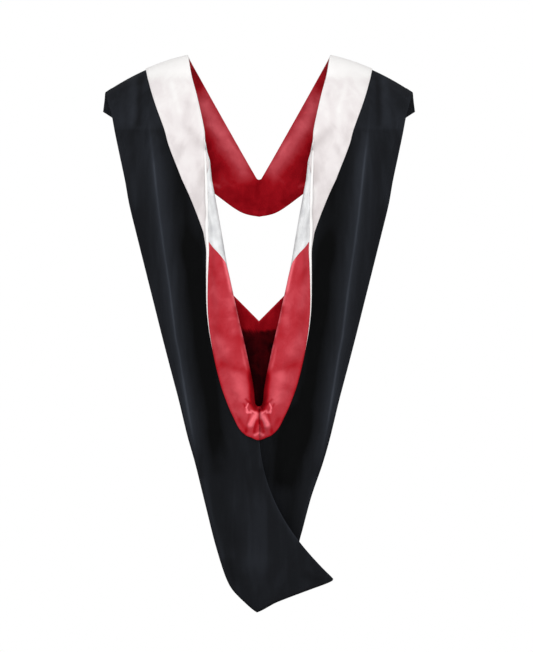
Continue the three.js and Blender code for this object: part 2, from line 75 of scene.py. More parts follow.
# The rows of a half. inner and side are across, as shares of halfNeck and halfShoulder; the drops
# are below the crest, as shares of frontDrop in front and of cowlDrop (inner) or length (side)
# behind; collar and trim are shares of their widths, slope is the collar's direction in degrees,
# pouch, mouth and ridgeHeight are shares of their depths, and ridge is the long fold's place.
sectionColumns = ["inner", "innerDrop", "side", "sideDrop", "collar", "slope", "trim", "pouch",
                  "mouth", "ridge", "ridgeHeight"]
sections = [
    [-0.001, 0.795, 0.0, 1.0, 0, 0, 0.34, 0, 0, 0.5, 0],  # 0 centre front
    [0.181, 0.652, 0.125, 0.968, 0, 0, 0.62, 0, 0, 0.5, 0],
    [0.389, 0.487, 0.302, 0.845, 0, 0, 0.86, 0, 0, 0.5, 0],
    [0.611, 0.31, 0.518, 0.685, 0, 0, 0.94, 0, 0, 0.5, 0],
    [0.792, 0.165, 0.768, 0.416, 0, 0, 0.98, 0, 0, 0.5, 0],
    [0.917, 0.066, 1.02, 0.104, 0, 0, 1.01, 0, 0, 0.5, 0],  # 5 front corner of the shoulder
    [0.979, 0.016, 1.009, 0.039, 0, 0, 1.05, 0, 0, 0.5, 0],
    [1.0, 0, 1.0, 0, 0, 0, 1.08, 0, 0, 0.5, 0],  # 7 shoulder crest
    [0.985, 0.017, 0.991, 0.012, 0, 0, 1.05, 0, 0, 0.5, 0],
    [0.947, 0.06, 0.974, 0.03, 0, 0, 1.005, 0, 0, 0.49, 0.15],
    [0.87, 0.118, 0.955, 0.051, 0, 0, 0.985, 0, 0, 0.48, 0.4],
    [0.776, 0.204, 0.932, 0.086, 0, 0, 0.92, 0, 0, 0.46, 0.7],
    [0.73, 0.267, 0.906, 0.123, 0, -10, 0.845, 0.1, 0.05, 0.44, 0.9],  # 12 the collar starts to turn
    [0.639, 0.347, 0.866, 0.18, 0.1, -18, 0.65, 0.35, 0.2, 0.42, 1],
    [0.569, 0.419, 0.837, 0.229, 0.235, -31, 0.49, 0.6, 0.4, 0.4, 1],
    [0.493, 0.502, 0.784, 0.296, 0.455, -35, 0.34, 0.85, 0.6, 0.38, 1],
    [0.424, 0.588, 0.728, 0.365, 0.68, -43, 0.25, 1, 0.8, 0.36, 1],  # 16 seam of silver and red
    [0.368, 0.643, 0.682, 0.421, 0.8, -37, 0.18, 1, 0.95, 0.34, 1],
    [0.312, 0.697, 0.63, 0.484, 0.86, -23, 0.16, 1, 1, 0.31, 1],
    [0.25, 0.758, 0.577, 0.546, 0.92, -4, 0.2, 1, 1, 0.27, 1],
    [0.188, 0.815, 0.515, 0.616, 0.97, 9, 0.27, 1, 1, 0.22, 0.9],
    [0.132, 0.872, 0.461, 0.681, 0.98, 11, 0.35, 1, 1, 0.17, 0.8],
    [0.09, 0.918, 0.408, 0.733, 0.95, 16, 0.43, 1, 0.95, 0.13, 0.6],
    [0.065, 0.953, 0.344, 0.805, 0.9, 30, 0.5, 1, 0.9, 0.1, 0.4],  # 23 the right half's tail starts
    [0.059, 0.974, 0.272, 0.884, 0.89, 46, 0.57, 1, 0.85, 0.1, 0.2],
    [0.053, 0.989, 0.197, 0.946, 0.95, 61, 0.64, 1, 0.8, 0.1, 0],  # 25 corner of the tail
    [0.045, 0.995, 0.118, 0.975, 1.02, 74, 0.7, 1, 0.75, 0.1, 0],
    [0.035, 0.998, 0.013, 1.0, 1.03, 82, 0.7, 1, 0.7, 0.1, 0],  # 27 tip of the tail
    [0.024, 1.0, -0.105, 0.983, 1.04, 85, 0.7, 1, 0.7, 0.1, 0],
    [0.013, 1.001, -0.302, 0.962, 1.06, 88, 0.7, 1, 0.7, 0.1, 0],
    [-0.001, 1.001, -0.492, 0.943, 1.065, 90, 0.7, 1, 0.7, 0.1, 0],  # 30 edge of the flap
]
rightTail = [  # side, sideDrop and pouch of the right half from row 23 on, where it ends in a point
    [0.333, 0.794, 0.8], [0.269, 0.861, 0.5], [0.23, 0.894, 0.3], [0.151, 0.895, 0.3],
    [0.079, 0.894, 0.3], [0.032, 0.894, 0.3], [0.0, 0.894, 0.3], [-0.033, 0.894, 0.3],
]
leftTable = np.array(sections)
rightTable = leftTable.copy()
tailColumns = [sectionColumns.index(name) for name in ("side", "sideDrop", "pouch")]
rightTable[-len(rightTail):, tailColumns] = rightTail

# The rows and columns that the code names. A seam leaves half of seamGap on each side of its row.
row = {"crest": 7, "collar": 12, "pouch": 13.4, "seam": 16, "full": 17, "trimEnd": 18, "corner": 25,
       "tip": 27, "last": 30, "seamGap": 0.016}
column = {"trim": 4, "margin": 6, "fold": 8, "turn": 12, "edge": 15}
marginWidth = 16  # mm between the margin's column and the fold

leftHalf = {"name": "left", "sign": -1, "table": leftTable,
            "bend": (0.046 * halfShoulder, -0.814 * hood["length"]), "lap": flap["lift"]}
rightHalf = {"name": "right", "sign": 1, "table": rightTable,
             "bend": (0.007 * halfShoulder, -0.745 * hood["length"]), "lap": -flap["sink"]}

# Folds and shades are drawn on the picture's left side, in its pixels, and the right side mirrors
# them. Each is a half width, a height in mm (or a change of tone), and the points of its line. The
# shades are painted light: a change of tone above 0 is a painted highlight, below 0 painted shade.
collarFolds = [
    (5, 0.8, [(214, 262), (222, 300)]), (4, 1.0, [(230, 285), (237, 330)]),
    (6, 1.3, [(221, 326), (228, 352)]), (4.5, 1.5, [(237, 350), (243, 398)]),
    (3.5, -1.3, [(226, 363), (242, 372)]), (4, -0.9, [(231, 392), (246, 404)]),
    (4, -0.7, [(218, 305), (233, 312)]), (4, 0.8, [(224, 383), (233, 388)]),
]
gatherFolds = [
    (2.7, 2.2, [(256.2, 413), (250.5, 424.5)]), (0.9, 0.9, [(246, 404), (247, 409), (249, 412), (256, 413)]),
    (2.5, 1.0, [(245, 415), (240, 425)]), (1.7, -1.4, [(250, 413), (246.5, 431)]),
    (1.6, -1.2, [(255.5, 420), (253, 433)]), (1.2, -0.8, [(259, 412), (259, 431)]),
    (1.2, 0.9, [(255, 435), (259, 431.5)]),
]
frontFolds = [
    (5, 1.4, [(197, 100), (206, 150)]), (5, -1.1, [(214, 158), (219, 190)]),
    (4, 1.2, [(214, 180), (220, 186)]), (6, 1.2, [(232, 170), (242, 205)]),
    (4, 1.0, [(224, 150), (240, 172)]), (5, -1.0, [(250, 180), (262, 205)]),
    (3.5, -0.8, [(204, 120), (212, 145)]),
]
pressedCrease = [
    (147, 96), (149.9, 127), (154.4, 165), (159.9, 214), (165, 250), (171.2, 292), (176.5, 337),
    (180, 354), (185.8, 391), (190.4, 418), (197.7, 459), (202, 484),
]
panelFolds = [
    (2.2, 1.2, pressedCrease), (8, 1.0, [(150, 300), (176, 420)]), (8, -1.6, [(200, 330), (214, 450)]),
    (9, 1.6, [(215, 470), (240, 560)]), (7, -1.4, [(236, 450), (262, 560)]),
    (6, -1.2, [(205, 440), (226, 560)]), (5, 1.3, [(246, 445), (256, 505)]),
    (5, 1.2, [(134, 76), (131, 125)]), (4, -0.9, [(140, 78), (139, 126)]), (4, -0.8, [(125, 84), (124, 122)]),
]
# painted highlight along the pressed crease, painted shade in the valley beside it, near the collar and on
# the tail, and painted light and shade on the shoulder's small folds
panelPaintedLight = [
    (1.2, 0.2, pressedCrease), (5, 0.15, pressedCrease), (12, 0.15, pressedCrease),
    (12, -0.42, [(188, 215), (193, 255), (197, 300), (204, 350), (212, 400), (222, 480)]),
    (12, -0.24, [(172, 120), (179, 160), (185, 200), (190, 240), (195, 280)]),
    (7, -0.16, [(206, 275), (207, 330)]), (7, 0.07, [(118, 104), (128, 160), (138, 220)]),
    (5, 0.14, [(134, 76), (131, 122)]), (3.5, -0.12, [(140, 78), (139, 124)]),
    (8, -0.1, [(221, 470), (232, 540)]), (3, 0.12, [(204, 480), (222, 556)]),
]
# painted light and shade on the left tail's folds, and a painted highlight along the flap's edge
leftPaintedLight = [
    (15, 0.07, [(240, 574), (256, 564), (272, 568)]), (12, 0.05, [(260, 500), (260, 555)]),
    (5, -0.12, [(231, 562), (236, 578)]), (7, -0.1, [(213, 436), (217, 468)]),
    (4, -0.12, [(306, 574), (318, 579)]), (2.5, 0.1, [(262, 470), (284, 520), (300, 545)]),
    (1.2, 0.1, [(259, 441), (260, 466)]), (9, 0.06, [(236, 500), (250, 560)]),
]
# painted shade on the right half beside and under the flap's edge
rightPaintedShade = [
    (16, -0.4, [(218, 400), (230, 436), (236, 468), (234, 496)]),
    (14, -0.1, [(233, 480), (228, 512), (221, 552)]),
]
# painted shade and highlights on the velvet trim's folds
trimPaintedLight = [
    (5, -0.3, [(205, 148), (190, 132)]), (4, -0.2, [(182, 148), (176, 162)]),
    (3.5, -0.22, [(190, 96), (184, 128)]), (3, 0.2, [(172, 84), (180, 112)]),
    (5, -0.16, [(166, 116), (172, 140)]), (3, 0.2, [(203, 190), (206, 208)]),
    (5, -0.12, [(198, 158), (202, 178)]),
]
# painted highlights and painted shade on the silver satin's crinkles
silverPaintedLight = [
    (3, -0.35, [(214, 196), (216, 214)]), (2.5, 0.3, [(219, 212), (222, 232)]),
    (2.5, -0.3, [(211, 224), (217, 238)]), (2, 0.3, [(213, 240), (218, 250)]),
    (2.5, -0.25, [(222, 238), (225, 254)]), (2, 0.2, [(211, 184), (213, 204)]),
]
# a painted highlight along the front V's neck edge
bandPaintedHighlight = [
    (10.5, 0.95, [(196, 78), (200, 92), (206, 106), (213, 119), (222, 133), (232, 149), (243, 165),
                  (255, 183)]),
]
# painted light and shade on the front lining: darker along its outer edge, lighter spots on creases
frontPaintedLight = [
    (5, -0.07, [(205, 136), (208, 156), (213, 186)]), (2.2, 0.12, [(214, 183), (218, 185)]),
    (2.5, 0.05, [(255, 211), (262, 212)]), (12, -0.04, [(248, 202), (270, 202)]),
    (8, 0.04, [(226, 180), (236, 192)]), (2, 0.06, [(228, 138), (238, 152)]),
    (3, -0.05, [(198, 84), (203, 98)]), (4, 0.06, [(210, 124), (218, 132)]),
]
# painted light on the collar: highlights on the gathers' petals and the roll's edge, painted shade in the
# seam, in the creases and on the roll's inner side, and cloudy light and shade on the satin
collarPaintedLight = [
    (6.5, 0.09, [(220, 340), (226, 350)]), (6, 0.12, [(237, 374), (242, 398)]),
    (5, 0.06, [(231, 296), (233, 306)]), (4.5, -0.1, [(222, 364), (244, 370)]),
    (1.1, 0.26, [(232.5, 296), (235, 305)]), (1.1, 0.22, [(236.5, 311), (239, 322)]),
    (1.0, 0.2, [(240.5, 327), (242, 336)]), (1.0, 0.16, [(244, 345), (247, 358)]),
    (2.6, 0.3, [(256.2, 413.5), (251, 423.5)]), (1.6, 0.2, [(254.5, 417), (250.5, 423)]),
    (0.7, 0.4, [(248.3, 403), (246.4, 407)]), (0.7, 0.45, [(246.4, 407), (247.4, 411.3)]),
    (0.8, 0.45, [(247.4, 411.6), (251.5, 412)]), (0.7, 0.35, [(251, 410), (256, 412.5)]),
    (1.0, -0.2, [(259, 411), (259, 423)]), (1.0, 0.3, [(255, 434.5), (259, 432)]),
    (1.5, -0.1, [(250, 413), (246.5, 431)]), (4, 0.05, [(215, 290), (218, 320)]),
    (5, -0.05, [(238, 330), (243, 350)]), (4, 0.05, [(231, 318), (234, 330)]),
    (2.6, -0.34, [(248, 366), (251, 384), (251.6, 396), (253, 404), (256, 409), (262, 410.4), (274, 410.4)]),
    (1.2, 0.1, [(238, 316), (240, 330), (243, 342)]), (1.0, 0.12, [(241, 345), (244, 360), (247, 372)]),
    (1.6, -0.08, [(234, 308), (236, 316)]), (3, -0.06, [(213, 268), (219, 284)]),
    (1.5, 0.5, [(222.6, 254), (225.2, 264), (228.4, 278), (232, 296)]), (6, -0.07, [(218, 318), (223, 334)]),
    (3, -0.12, [(240, 419), (246, 430)]), (1.7, -0.16, [(257, 420), (254.5, 431)]),
    (0.9, -0.2, [(245.6, 398.5), (250, 403)]), (0.8, -0.16, [(243.6, 403), (246.5, 408)]),
    (1.6, 0.12, [(251.5, 424.5), (249, 424.6)]),
]


def smooth(value):
    # 0 below 0 and 1 above 1, with level ends: v * v * (3 - 2 v) between them
    share = np.clip(value, 0, 1)
    return share * share * (3 - 2 * share)


def unit(vectors):
    # each vector over its own length
    return vectors / np.maximum(np.linalg.norm(vectors, axis=-1, keepdims=True), 1e-9)


def crestFall(across):
    # the shoulder line sinks by the mean of its share outwards and that share's square
    share = np.maximum(0, (np.abs(across) - halfNeck) / (halfShoulder - halfNeck))
    return hood["shoulderFall"] * (share + share * share) / 2


def sectionAt(table, rows):
    # a Catmull-Rom curve through every column of the table, read at the rows; the side edge is
    # straight between rows at the front corner of the shoulder, and nearly so at the tail's tip
    low = np.clip(np.floor(rows).astype(int), 0, len(table) - 2)
    share = (rows - low)[:, None]
    a, b, c, d = (table[np.clip(low + step, 0, len(table) - 1)] for step in (-1, 0, 1, 2))
    values = b + share * ((c - a) / 2 + share * (a - 2.5 * b + 2 * c - d / 2
                          + share * (1.5 * (b - c) + (d - a) / 2)))
    crisp = np.interp(rows, [3.99, 4, 6, 6.01, 25.99, 26, 28, 28.01], [0, 1, 1, 0, 0, 0.7, 0.7, 0])[:, None]
    values[:, 2:4] += ((b + share * (c - b)) - values)[:, 2:4] * crisp
    return dict(zip(sectionColumns, values.T))


def onBody(across, below, facing, lift):
    # the body form: depth grows with the drop as (1 - (1 - share)^2)^roundness and shrinks to the
    # sides as 1 - flatness * (across / halfShoulder)^2; lift moves the point out along its normal
    roundness = body["roundness"]
    depth = np.where(facing > 0, body["chestDepth"], body["backDepth"])
    height = np.where(facing > 0, body["chestHeight"], body["backHeight"])
    drop = np.maximum(0, below)
    share = np.minimum(1, drop / height)
    flat = 1 - body["sideFlatness"] * (across / halfShoulder) ** 2
    rise = (1 - (1 - share) ** 2) ** roundness
    steep = np.maximum(0.01, share)
    slope = np.where(share < 1, roundness * (1 - (1 - steep) ** 2) ** (roundness - 1)
                     * 2 * (1 - steep) / height, 0)
    crestSlope = (crestFall(across + 1) - crestFall(across - 1)) / 2
    normal = unit(np.stack([
        depth * (2 * body["sideFlatness"] * across / halfShoulder ** 2 * rise + flat * slope * crestSlope),
        facing * np.ones_like(across), depth * flat * slope], -1))
    place = np.stack([across, facing * depth * flat * rise, -crestFall(across) - drop], -1)
    return place + normal * lift[..., None]


def planOf(half, rows):
    # for each row: its side point, fold centre, the collar's direction, and the curve between them,
    # (1 - s)^2 * side + 2 s (1 - s) * control + s^2 * centre, with its length up to 65 stops
    section = sectionAt(half["table"], rows)
    front = rows < row["crest"]
    innerX = section["inner"] * halfNeck
    inner = np.stack([innerX, -crestFall(innerX)
                      - np.where(front, np.minimum(section["innerDrop"], hood["notchShare"])
                                 * hood["frontDrop"], section["innerDrop"] * hood["cowlDrop"])], -1)
    sideX = section["side"] * halfShoulder
    side = np.stack([sideX, -crestFall(sideX)
                     - section["sideDrop"] * np.where(front, hood["frontDrop"], hood["length"])], -1)
    angle = np.radians(section["slope"])
    outward = np.stack([np.cos(angle), -np.sin(angle)], -1)
    growth = smooth((rows - row["collar"]) / (row["full"] - row["collar"]))
    radius = drape["startRadius"] + (drape["rollRadius"] - drape["startRadius"]) * growth
    visible = section["collar"] * hood["collarWidth"]
    turned = visible / (1.3 * radius)  # 0 where flat, 1 and more where it is fully turned over
    rolled = np.where(rows > row["collar"], visible + (np.pi - 1) * radius * smooth(turned), 0)
    centre = inner + outward * ((radius + layer["lining"] + layer["sewnGap"])
                                * np.clip(turned, 0, 1))[:, None]
    tail = smooth((rows - row["corner"]) / (row["tip"] - row["corner"]))[:, None]
    control = (side + centre) / 2 * (1 - tail) + np.array(half["bend"]) * tail
    steps = np.linspace(0, 1, 65)[None, :, None]
    way = ((1 - steps) ** 2 * side[:, None] + 2 * steps * (1 - steps) * control[:, None]
           + steps ** 2 * centre[:, None])
    lengths = np.linalg.norm(np.diff(way, axis=1), axis=-1)
    along = np.concatenate([np.zeros((len(rows), 1)), np.cumsum(lengths, axis=1)], axis=1)
    return {"rows": rows, "section": section, "front": front, "side": side, "control": control,
            "centre": centre, "outward": outward, "radius": radius, "rolled": rolled,
            "width": along[:, -1], "along": along}


def wayAt(plan, fromSide):
    # the point of each row's curve at a length from its side end: the share s is read off the
    # lengths of the stops, and then put into the curve
    count, stops = plan["along"].shape
    jump = 2000.0 * np.arange(count)[:, None]  # keeps one row's lengths apart from the next one's
    steps = (np.linspace(0, 1, stops)[None] + np.arange(count)[:, None]).ravel()
    wanted = np.clip(fromSide, 0, plan["width"][:, None]) + jump
    share = np.interp(wanted.ravel(), (plan["along"] + jump).ravel(), steps).reshape(wanted.shape)
    share = np.clip(share - np.arange(count)[:, None], 0, 1)[..., None]
    return ((1 - share) ** 2 * plan["side"][:, None] + 2 * share * (1 - share) * plan["control"][:, None]
            + share ** 2 * plan["centre"][:, None])


def columnReach(plan, columns):
    # millimetres from the fold: below 0 on the panel, above 0 on the turned collar; the flap's
    # corner is rounded by holding the side back as 1 - (1 - t^2)^0.5 over the last half row
    trimShare = plan["section"]["trim"][:, None]
    late = np.clip((plan["rows"] - row["last"] + 0.5) / 0.5, 0, 1)
    width = (plan["width"] - flap["corner"] * (1 - np.sqrt(1 - late ** 2)))[:, None]
    rolled = plan["rolled"][:, None]
    columns = columns[None]
    trimEdge = -np.maximum(trimShare * hood["trimWidth"], marginWidth + 6)
    toTrim = -width + (trimEdge + width) * columns / column["trim"]
    toMargin = trimEdge - (marginWidth + trimEdge) * (columns - column["trim"]) / (
        column["margin"] - column["trim"])
    toFold = -marginWidth * (column["fold"] - columns) / (column["fold"] - column["margin"])
    turnEnd = np.minimum(np.pi * plan["radius"][:, None], 0.6 * rolled)
    onTurn = turnEnd * (columns - column["fold"]) / (column["turn"] - column["fold"])
    onFlat = turnEnd + (rolled - turnEnd) * (columns - column["turn"]) / (column["edge"] - column["turn"])
    return np.select([columns <= column[name] for name in ("trim", "margin", "fold", "turn")],
                     [toTrim, toMargin, toFold, onTurn], onFlat)


def overlap(place, fromSide):
    # 1 where the left half lies over the right one below the collar: the product of three smooth
    # steps, down the tail, across it and in from the side edge
    return (smooth((-place[..., 1] - hood["cowlDrop"] - flap["below"]) / flap["belowSpan"])
            * smooth((flap["across"] - place[..., 0]) / flap["acrossSpan"])
            * smooth((fromSide - flap["side"]) / flap["sideSpan"]))


def pictureOf(across, z):
    # the picture's pixel of a place: its millimetres over the pixel's size, from the origin's pixel
    return picture["centreX"] - across / picture["pixel"], picture["crestY"] - z / picture["pixel"]


def ridgeField(x, y, folds):
    # the sum of the folds: height * exp(-(distance to the fold's line / half width)^2); a line of
    # three or more points fades out over a fifth of its length at each end
    field = np.zeros_like(x)
    for width, height, line in folds:
        line = np.array(line, dtype=float)
        runs = np.diff(line, axis=0)
        lengths = np.hypot(runs[:, 0], runs[:, 1])
        before = np.cumsum(lengths) - lengths
        away, place = np.full_like(x, 1e9), np.zeros_like(x)
        for (startX, startY), (runX, runY), length, passed in zip(line, runs, lengths, before):
            share = np.clip(((x - startX) * runX + (y - startY) * runY) / length ** 2, 0, 1)
            gap = (x - startX - share * runX) ** 2 + (y - startY - share * runY) ** 2
            place = np.where(gap < away, (passed + share * length) / lengths.sum(), place)
            away = np.minimum(away, gap)
        fade = smooth(5 * np.minimum(place, 1 - place)) if len(line) > 2 else 1
        field += height * np.exp(-away / width ** 2) * fade
    return field


def ripple(x, y, size, seed):
    # an uneven swell between -1 and 1: the mean of five waves in directions fixed by the seed
    draw = np.random.default_rng(seed)
    total = np.zeros_like(x)
    for turn, length, phase in zip(draw.uniform(0, np.pi, 5), draw.uniform(0.7, 1.6, 5),
                                   draw.uniform(0, 6.28, 5)):
        total += np.sin((x * np.cos(turn) + y * np.sin(turn)) * 6.283 / (size * length) + phase)
    return total / 5


def clothPoints(half, rows, columns):
    # the middle of the cloth: along the row's curve on the panel, round the fold and out on the
    # collar, at a standoff from the body form made of the layers, pouch, mouth, long fold and lap
    plan = planOf(half, rows)
    section = plan["section"]
    reach = columnReach(plan, columns)
    radius = plan["radius"][:, None]
    width = plan["width"][:, None]
    front = plan["front"][:, None]
    turn = np.clip(reach, 0, np.pi * radius) / radius
    flat = np.maximum(0, reach - np.pi * radius)
    flatWidth = np.maximum(hood["collarWidth"] / 3, plan["rolled"][:, None] - np.pi * radius)
    flatPart = np.clip(flat / flatWidth, 0, 1)
    fromFold = np.where(reach < 0, -reach, flat)
    fromSide = width - fromFold
    onPanel = wayAt(plan, fromSide)
    onCollar = plan["centre"][:, None] + plan["outward"][:, None] * (flat - radius * np.sin(turn))[..., None]
    place = np.where((reach > 0)[..., None], onCollar, onPanel)
    lift = radius * (1 - np.cos(turn)) + drape["collarPuff"] * np.sin(np.pi * flatPart) ** 2
    lift = np.where(reach > 0, lift - np.maximum(0, 2 * radius - drape["edgeLift"]) * smooth(flatPart), 0)

    closed = smooth((rows - row["crest"]) / (row["pouch"] - row["crest"]))[:, None]
    base = (layer["lining"] + layer["sewnGap"] + drape["bodyGap"]
            + closed * (layer["cloth"] + layer["lining"] + 2 * layer["sewnGap"]))
    sideRound = 1 - np.exp(-fromSide / drape["sideRound"])
    pouch = section["pouch"][:, None] * drape["pouchDepth"] * sideRound
    mouth = (section["mouth"][:, None] * drape["mouthDepth"] * (1 - smooth(fromFold / drape["mouthReach"]))
             * smooth(fromSide / drape["mouthSide"]))
    offRidge = (fromSide - section["ridge"][:, None] * width) / drape["foldWidth"]
    ridge = section["ridgeHeight"][:, None] * drape["foldHeight"] * np.exp(-offRidge ** 2) * sideRound
    lap = half["lap"] * overlap(place, fromSide)

    # folds and swells, each on its own part of the cloth
    x, y = pictureOf(place[..., 0], place[..., 1])
    onRoll = smooth((reach - 0.5 * radius) / radius) * ~front
    onBack = ((reach <= 0) * ~front * smooth(fromSide / 30) * smooth((-reach - 20) / 30)
              * smooth((rows - 8) / 2)[:, None])
    soft = (onRoll * (ridgeField(x, y, collarFolds) + ridgeField(x, y, gatherFolds)
                      + drape["collarSwell"] * ripple(x, y, drape["collarSwellSize"], 3))
            + front * ridgeField(x, y, frontFolds)
            + onBack * (ridgeField(x, y, panelFolds)
                        + drape["panelSwell"] * ripple(x, y, drape["panelSwellSize"], 7))
            + hem["rise"] * (1 - smooth((fromSide - hem["depth"]) / hem["slope"])))

    # at the shoulder the rows close up onto the crest, so the cloth bends over it
    below = (-place[..., 1] - crestFall(place[..., 0])) * smooth(np.abs(rows - row["crest"]))[:, None]
    facing = np.where(front, 1.0, -1.0) * np.ones_like(reach)
    points = onBody(place[..., 0], below, facing, base + pouch + mouth + ridge + lift + lap + soft)
    points[..., 0] *= half["sign"]
    return points, reach, plan


def gradients(points):
    # unit directions down the columns and across them; where columns stand on one point, the last
    # one before them that does not gives the direction
    down = np.gradient(points, axis=0)
    across = np.gradient(points, axis=1)
    spread = np.linalg.norm(across, axis=-1)
    seat = np.where(spread > 1e-5, np.arange(points.shape[1])[None], 0)
    seat = np.maximum.accumulate(seat, axis=1)[..., None]
    across = np.take_along_axis(across, seat, axis=1)
    down = np.take_along_axis(down, seat, axis=1)
    return unit(down), unit(across)


def normalsOf(points, sign):
    # the cross product of the two directions, away from the wearer on the panel
    down, across = gradients(points)
    return unit(np.cross(down, across) * -sign)


def meshFrom(name, points, quads, fields):
    # joins points that coincide, drops faces with no area, and turns the faces outwards: the sum of
    # a . (b x c) over the triangles is six times the volume, and above 0 when they face out
    keys = np.round(points * 1e4).astype(np.int64)
    _, first, inverse = np.unique(keys, axis=0, return_index=True, return_inverse=True)
    inverse = inverse.ravel()
    points = points[first]
    quads = inverse[quads]
    kept = quads != np.roll(quads, -1, axis=1)
    corners = kept.sum(axis=1)
    crossed = (quads[:, 0] == quads[:, 2]) | (quads[:, 1] == quads[:, 3])
    fours = quads[(corners == 4) & ~crossed]
    some = (corners == 3) & ~crossed
    threes = quads[some][kept[some]].reshape(-1, 3)
    halves = np.concatenate([fours[:, :3], fours[:, [0, 2, 3]], threes])
    a, b, c = (points[halves[:, k]] for k in range(3))
    if (a * np.cross(b, c)).sum() < 0:
        fours, threes = fours[:, ::-1], threes[:, ::-1]
    mesh = bpy.data.meshes.new(name)
    mesh.from_pydata((points * metre).tolist(), [], fours.tolist() + threes.tolist())
    for field, values in fields.items():
        flat = values.reshape(-1, values.shape[-1])[first] if values.ndim == 3 else values.ravel()[first]
        kind = "FLOAT_VECTOR" if flat.ndim == 2 else "FLOAT"
        attribute = mesh.attributes.new(field, kind, "POINT")
        attribute.data.foreach_set("vector" if flat.ndim == 2 else "value",
                                   flat.astype(np.float32).ravel())
    mesh.shade_smooth()
    piece = bpy.data.objects.new(name, mesh)
    bpy.context.scene.collection.objects.link(piece)
    print("made", name, "with", 2 * len(fours) + len(threes), "triangles")
    return piece


def endCaps(count):
    # the seats of a run of rings, with three more at each end that close it in a quarter circle:
    # their size is the sine of 0, 30 and 60 degrees, and they stand out by the cosine
    turn = np.radians([0, 30, 60])
    seats = np.concatenate([np.zeros(3, int), np.arange(count), np.full(3, count - 1)])
    size = np.concatenate([np.sin(turn), np.ones(count), np.sin(turn[::-1])])
    past = np.concatenate([-np.cos(turn), np.zeros(count), np.cos(turn[::-1])])
    return seats, size[:, None, None], past[:, None, None]


def ringFaces(starts, sides):
    # four-cornered faces between the ring of points at each start and the ring that follows it
    here = starts[..., None] + np.arange(sides)
    there = starts[..., None] + np.roll(np.arange(sides), -1)
    return np.stack([here, here + sides, there + sides, there], -1).reshape(-1, 4)


def wall(name, points, normals, offsets, fields, keepSide=None):
    # a closed wall of cloth round a grid: one face at each offset along the normals, with the rims
    # rounded in a half circle at the grid's four edges
    low, high = offsets
    middle, half = (low + high) / 2, (high - low) / 2
    count, width = points.shape[:2]
    rim = np.radians([45, 90, 135])
    forth = np.arange(width)
    seats = np.concatenate([forth, np.full(3, width - 1), forth[::-1], np.zeros(3, int)])
    height = np.concatenate([np.ones(width), np.cos(rim), -np.ones(width), -np.cos(rim)])
    beyond = np.concatenate([np.zeros(width), np.sin(rim), np.zeros(width), -np.sin(rim)])
    rows, size, past = endCaps(count)
    down, across = gradients(points)
    normals, down, across = (grid[rows][:, seats] for grid in (normals, down, across))
    ring = (points[rows][:, seats] + normals * (middle + half * size * height[:, None])
            + across * (half * size * beyond[:, None]) + down * half * past)
    if keepSide is not None:
        # in front and under the collar the halves meet at the middle: each keeps to its own side,
        # but for a fraction of a millimetre by which they are sewn into each other
        least = np.where(ring[..., 2] > -1.2 * hood["frontDrop"], -0.3, -0.15)
        own = np.maximum(ring[..., 0] * keepSide, least) * keepSide
        ring[..., 0] = np.where(ring[..., 2] > -hood["cowlDrop"] - hood["collarWidth"]
                                - drape["rollRadius"], own, ring[..., 0])
    lines, stops = ring.shape[:2]
    spread = {field: values[rows][:, seats] for field, values in fields.items()}
    return meshFrom(name, ring.reshape(-1, 3), ringFaces(np.arange(lines - 1) * stops, stops), spread)


def areaOf(points):
    # square metres of a grid: half of each face's two diagonals' cross product, summed
    a = points[1:, 1:] - points[:-1, :-1]
    b = points[1:, :-1] - points[:-1, 1:]
    return float(np.linalg.norm(np.cross(a, b), axis=-1).sum() / 2 * metre ** 2)


def alongOf(points):
    # millimetres down each column of a grid, or along a line, from its first point
    steps = np.linalg.norm(np.diff(points, axis=0), axis=-1)
    return np.concatenate([np.zeros_like(steps[:1]), np.cumsum(steps, axis=0)])


def tellFlat(name, width, length, points):
    # the flat size of a sheet as it is measured on the model, in metres and square metres
    print("   flat", name, round(float(width), 3), round(float(length), 3), round(areaOf(points), 4))


def fineRows(half):
    # each quarter of a row is cut into steps no longer than rowStep at the side, trim and fold
    coarse = np.arange(0, row["last"] + 0.01, 0.25)
    points, _, _ = clothPoints(half, coarse, np.array([0.0, column["trim"], column["fold"]]))
    run = np.linalg.norm(np.diff(points, axis=0), axis=-1).max(axis=1)
    steps = np.maximum(1, np.ceil(run / grain["rowStep"])).astype(int)
    stops = [np.linspace(coarse[k], coarse[k + 1], steps[k], endpoint=False) for k in range(len(steps))]
    return np.concatenate(stops + [[row["last"]]])


fineColumns = np.concatenate([
    np.linspace(0, column["trim"], 4 * grain["sideSteps"], endpoint=False),
    np.linspace(column["trim"], column["margin"], 2 * grain["trimSteps"], endpoint=False),
    np.linspace(column["margin"], column["fold"], 2 * grain["marginSteps"], endpoint=False),
    np.linspace(column["fold"], column["turn"], 4 * grain["turnSteps"], endpoint=False),
    np.linspace(column["turn"], column["edge"], 3 * grain["flatSteps"] + 1)])


def rowsBetween(rows, first, last):
    # the first and last row asked for, and every row of the half that lies between them
    inside = rows[(rows > first + 0.004) & (rows < last - 0.004)]
    return np.concatenate([[first], inside, [last]])


def denseHalf(half):
    # the whole cloth of a half, worked out once; every piece of it is read from here
    rows = fineRows(half)
    points, reach, plan = clothPoints(half, rows, fineColumns)
    even = np.ones_like(reach)
    return {"half": half, "rows": rows, "points": points, "normals": normalsOf(points, half["sign"]),
            "reach": reach, "fromSide": plan["width"][:, None] + np.minimum(reach, 0),
            "radius": plan["radius"][:, None] * even, "row": rows[:, None] * even}


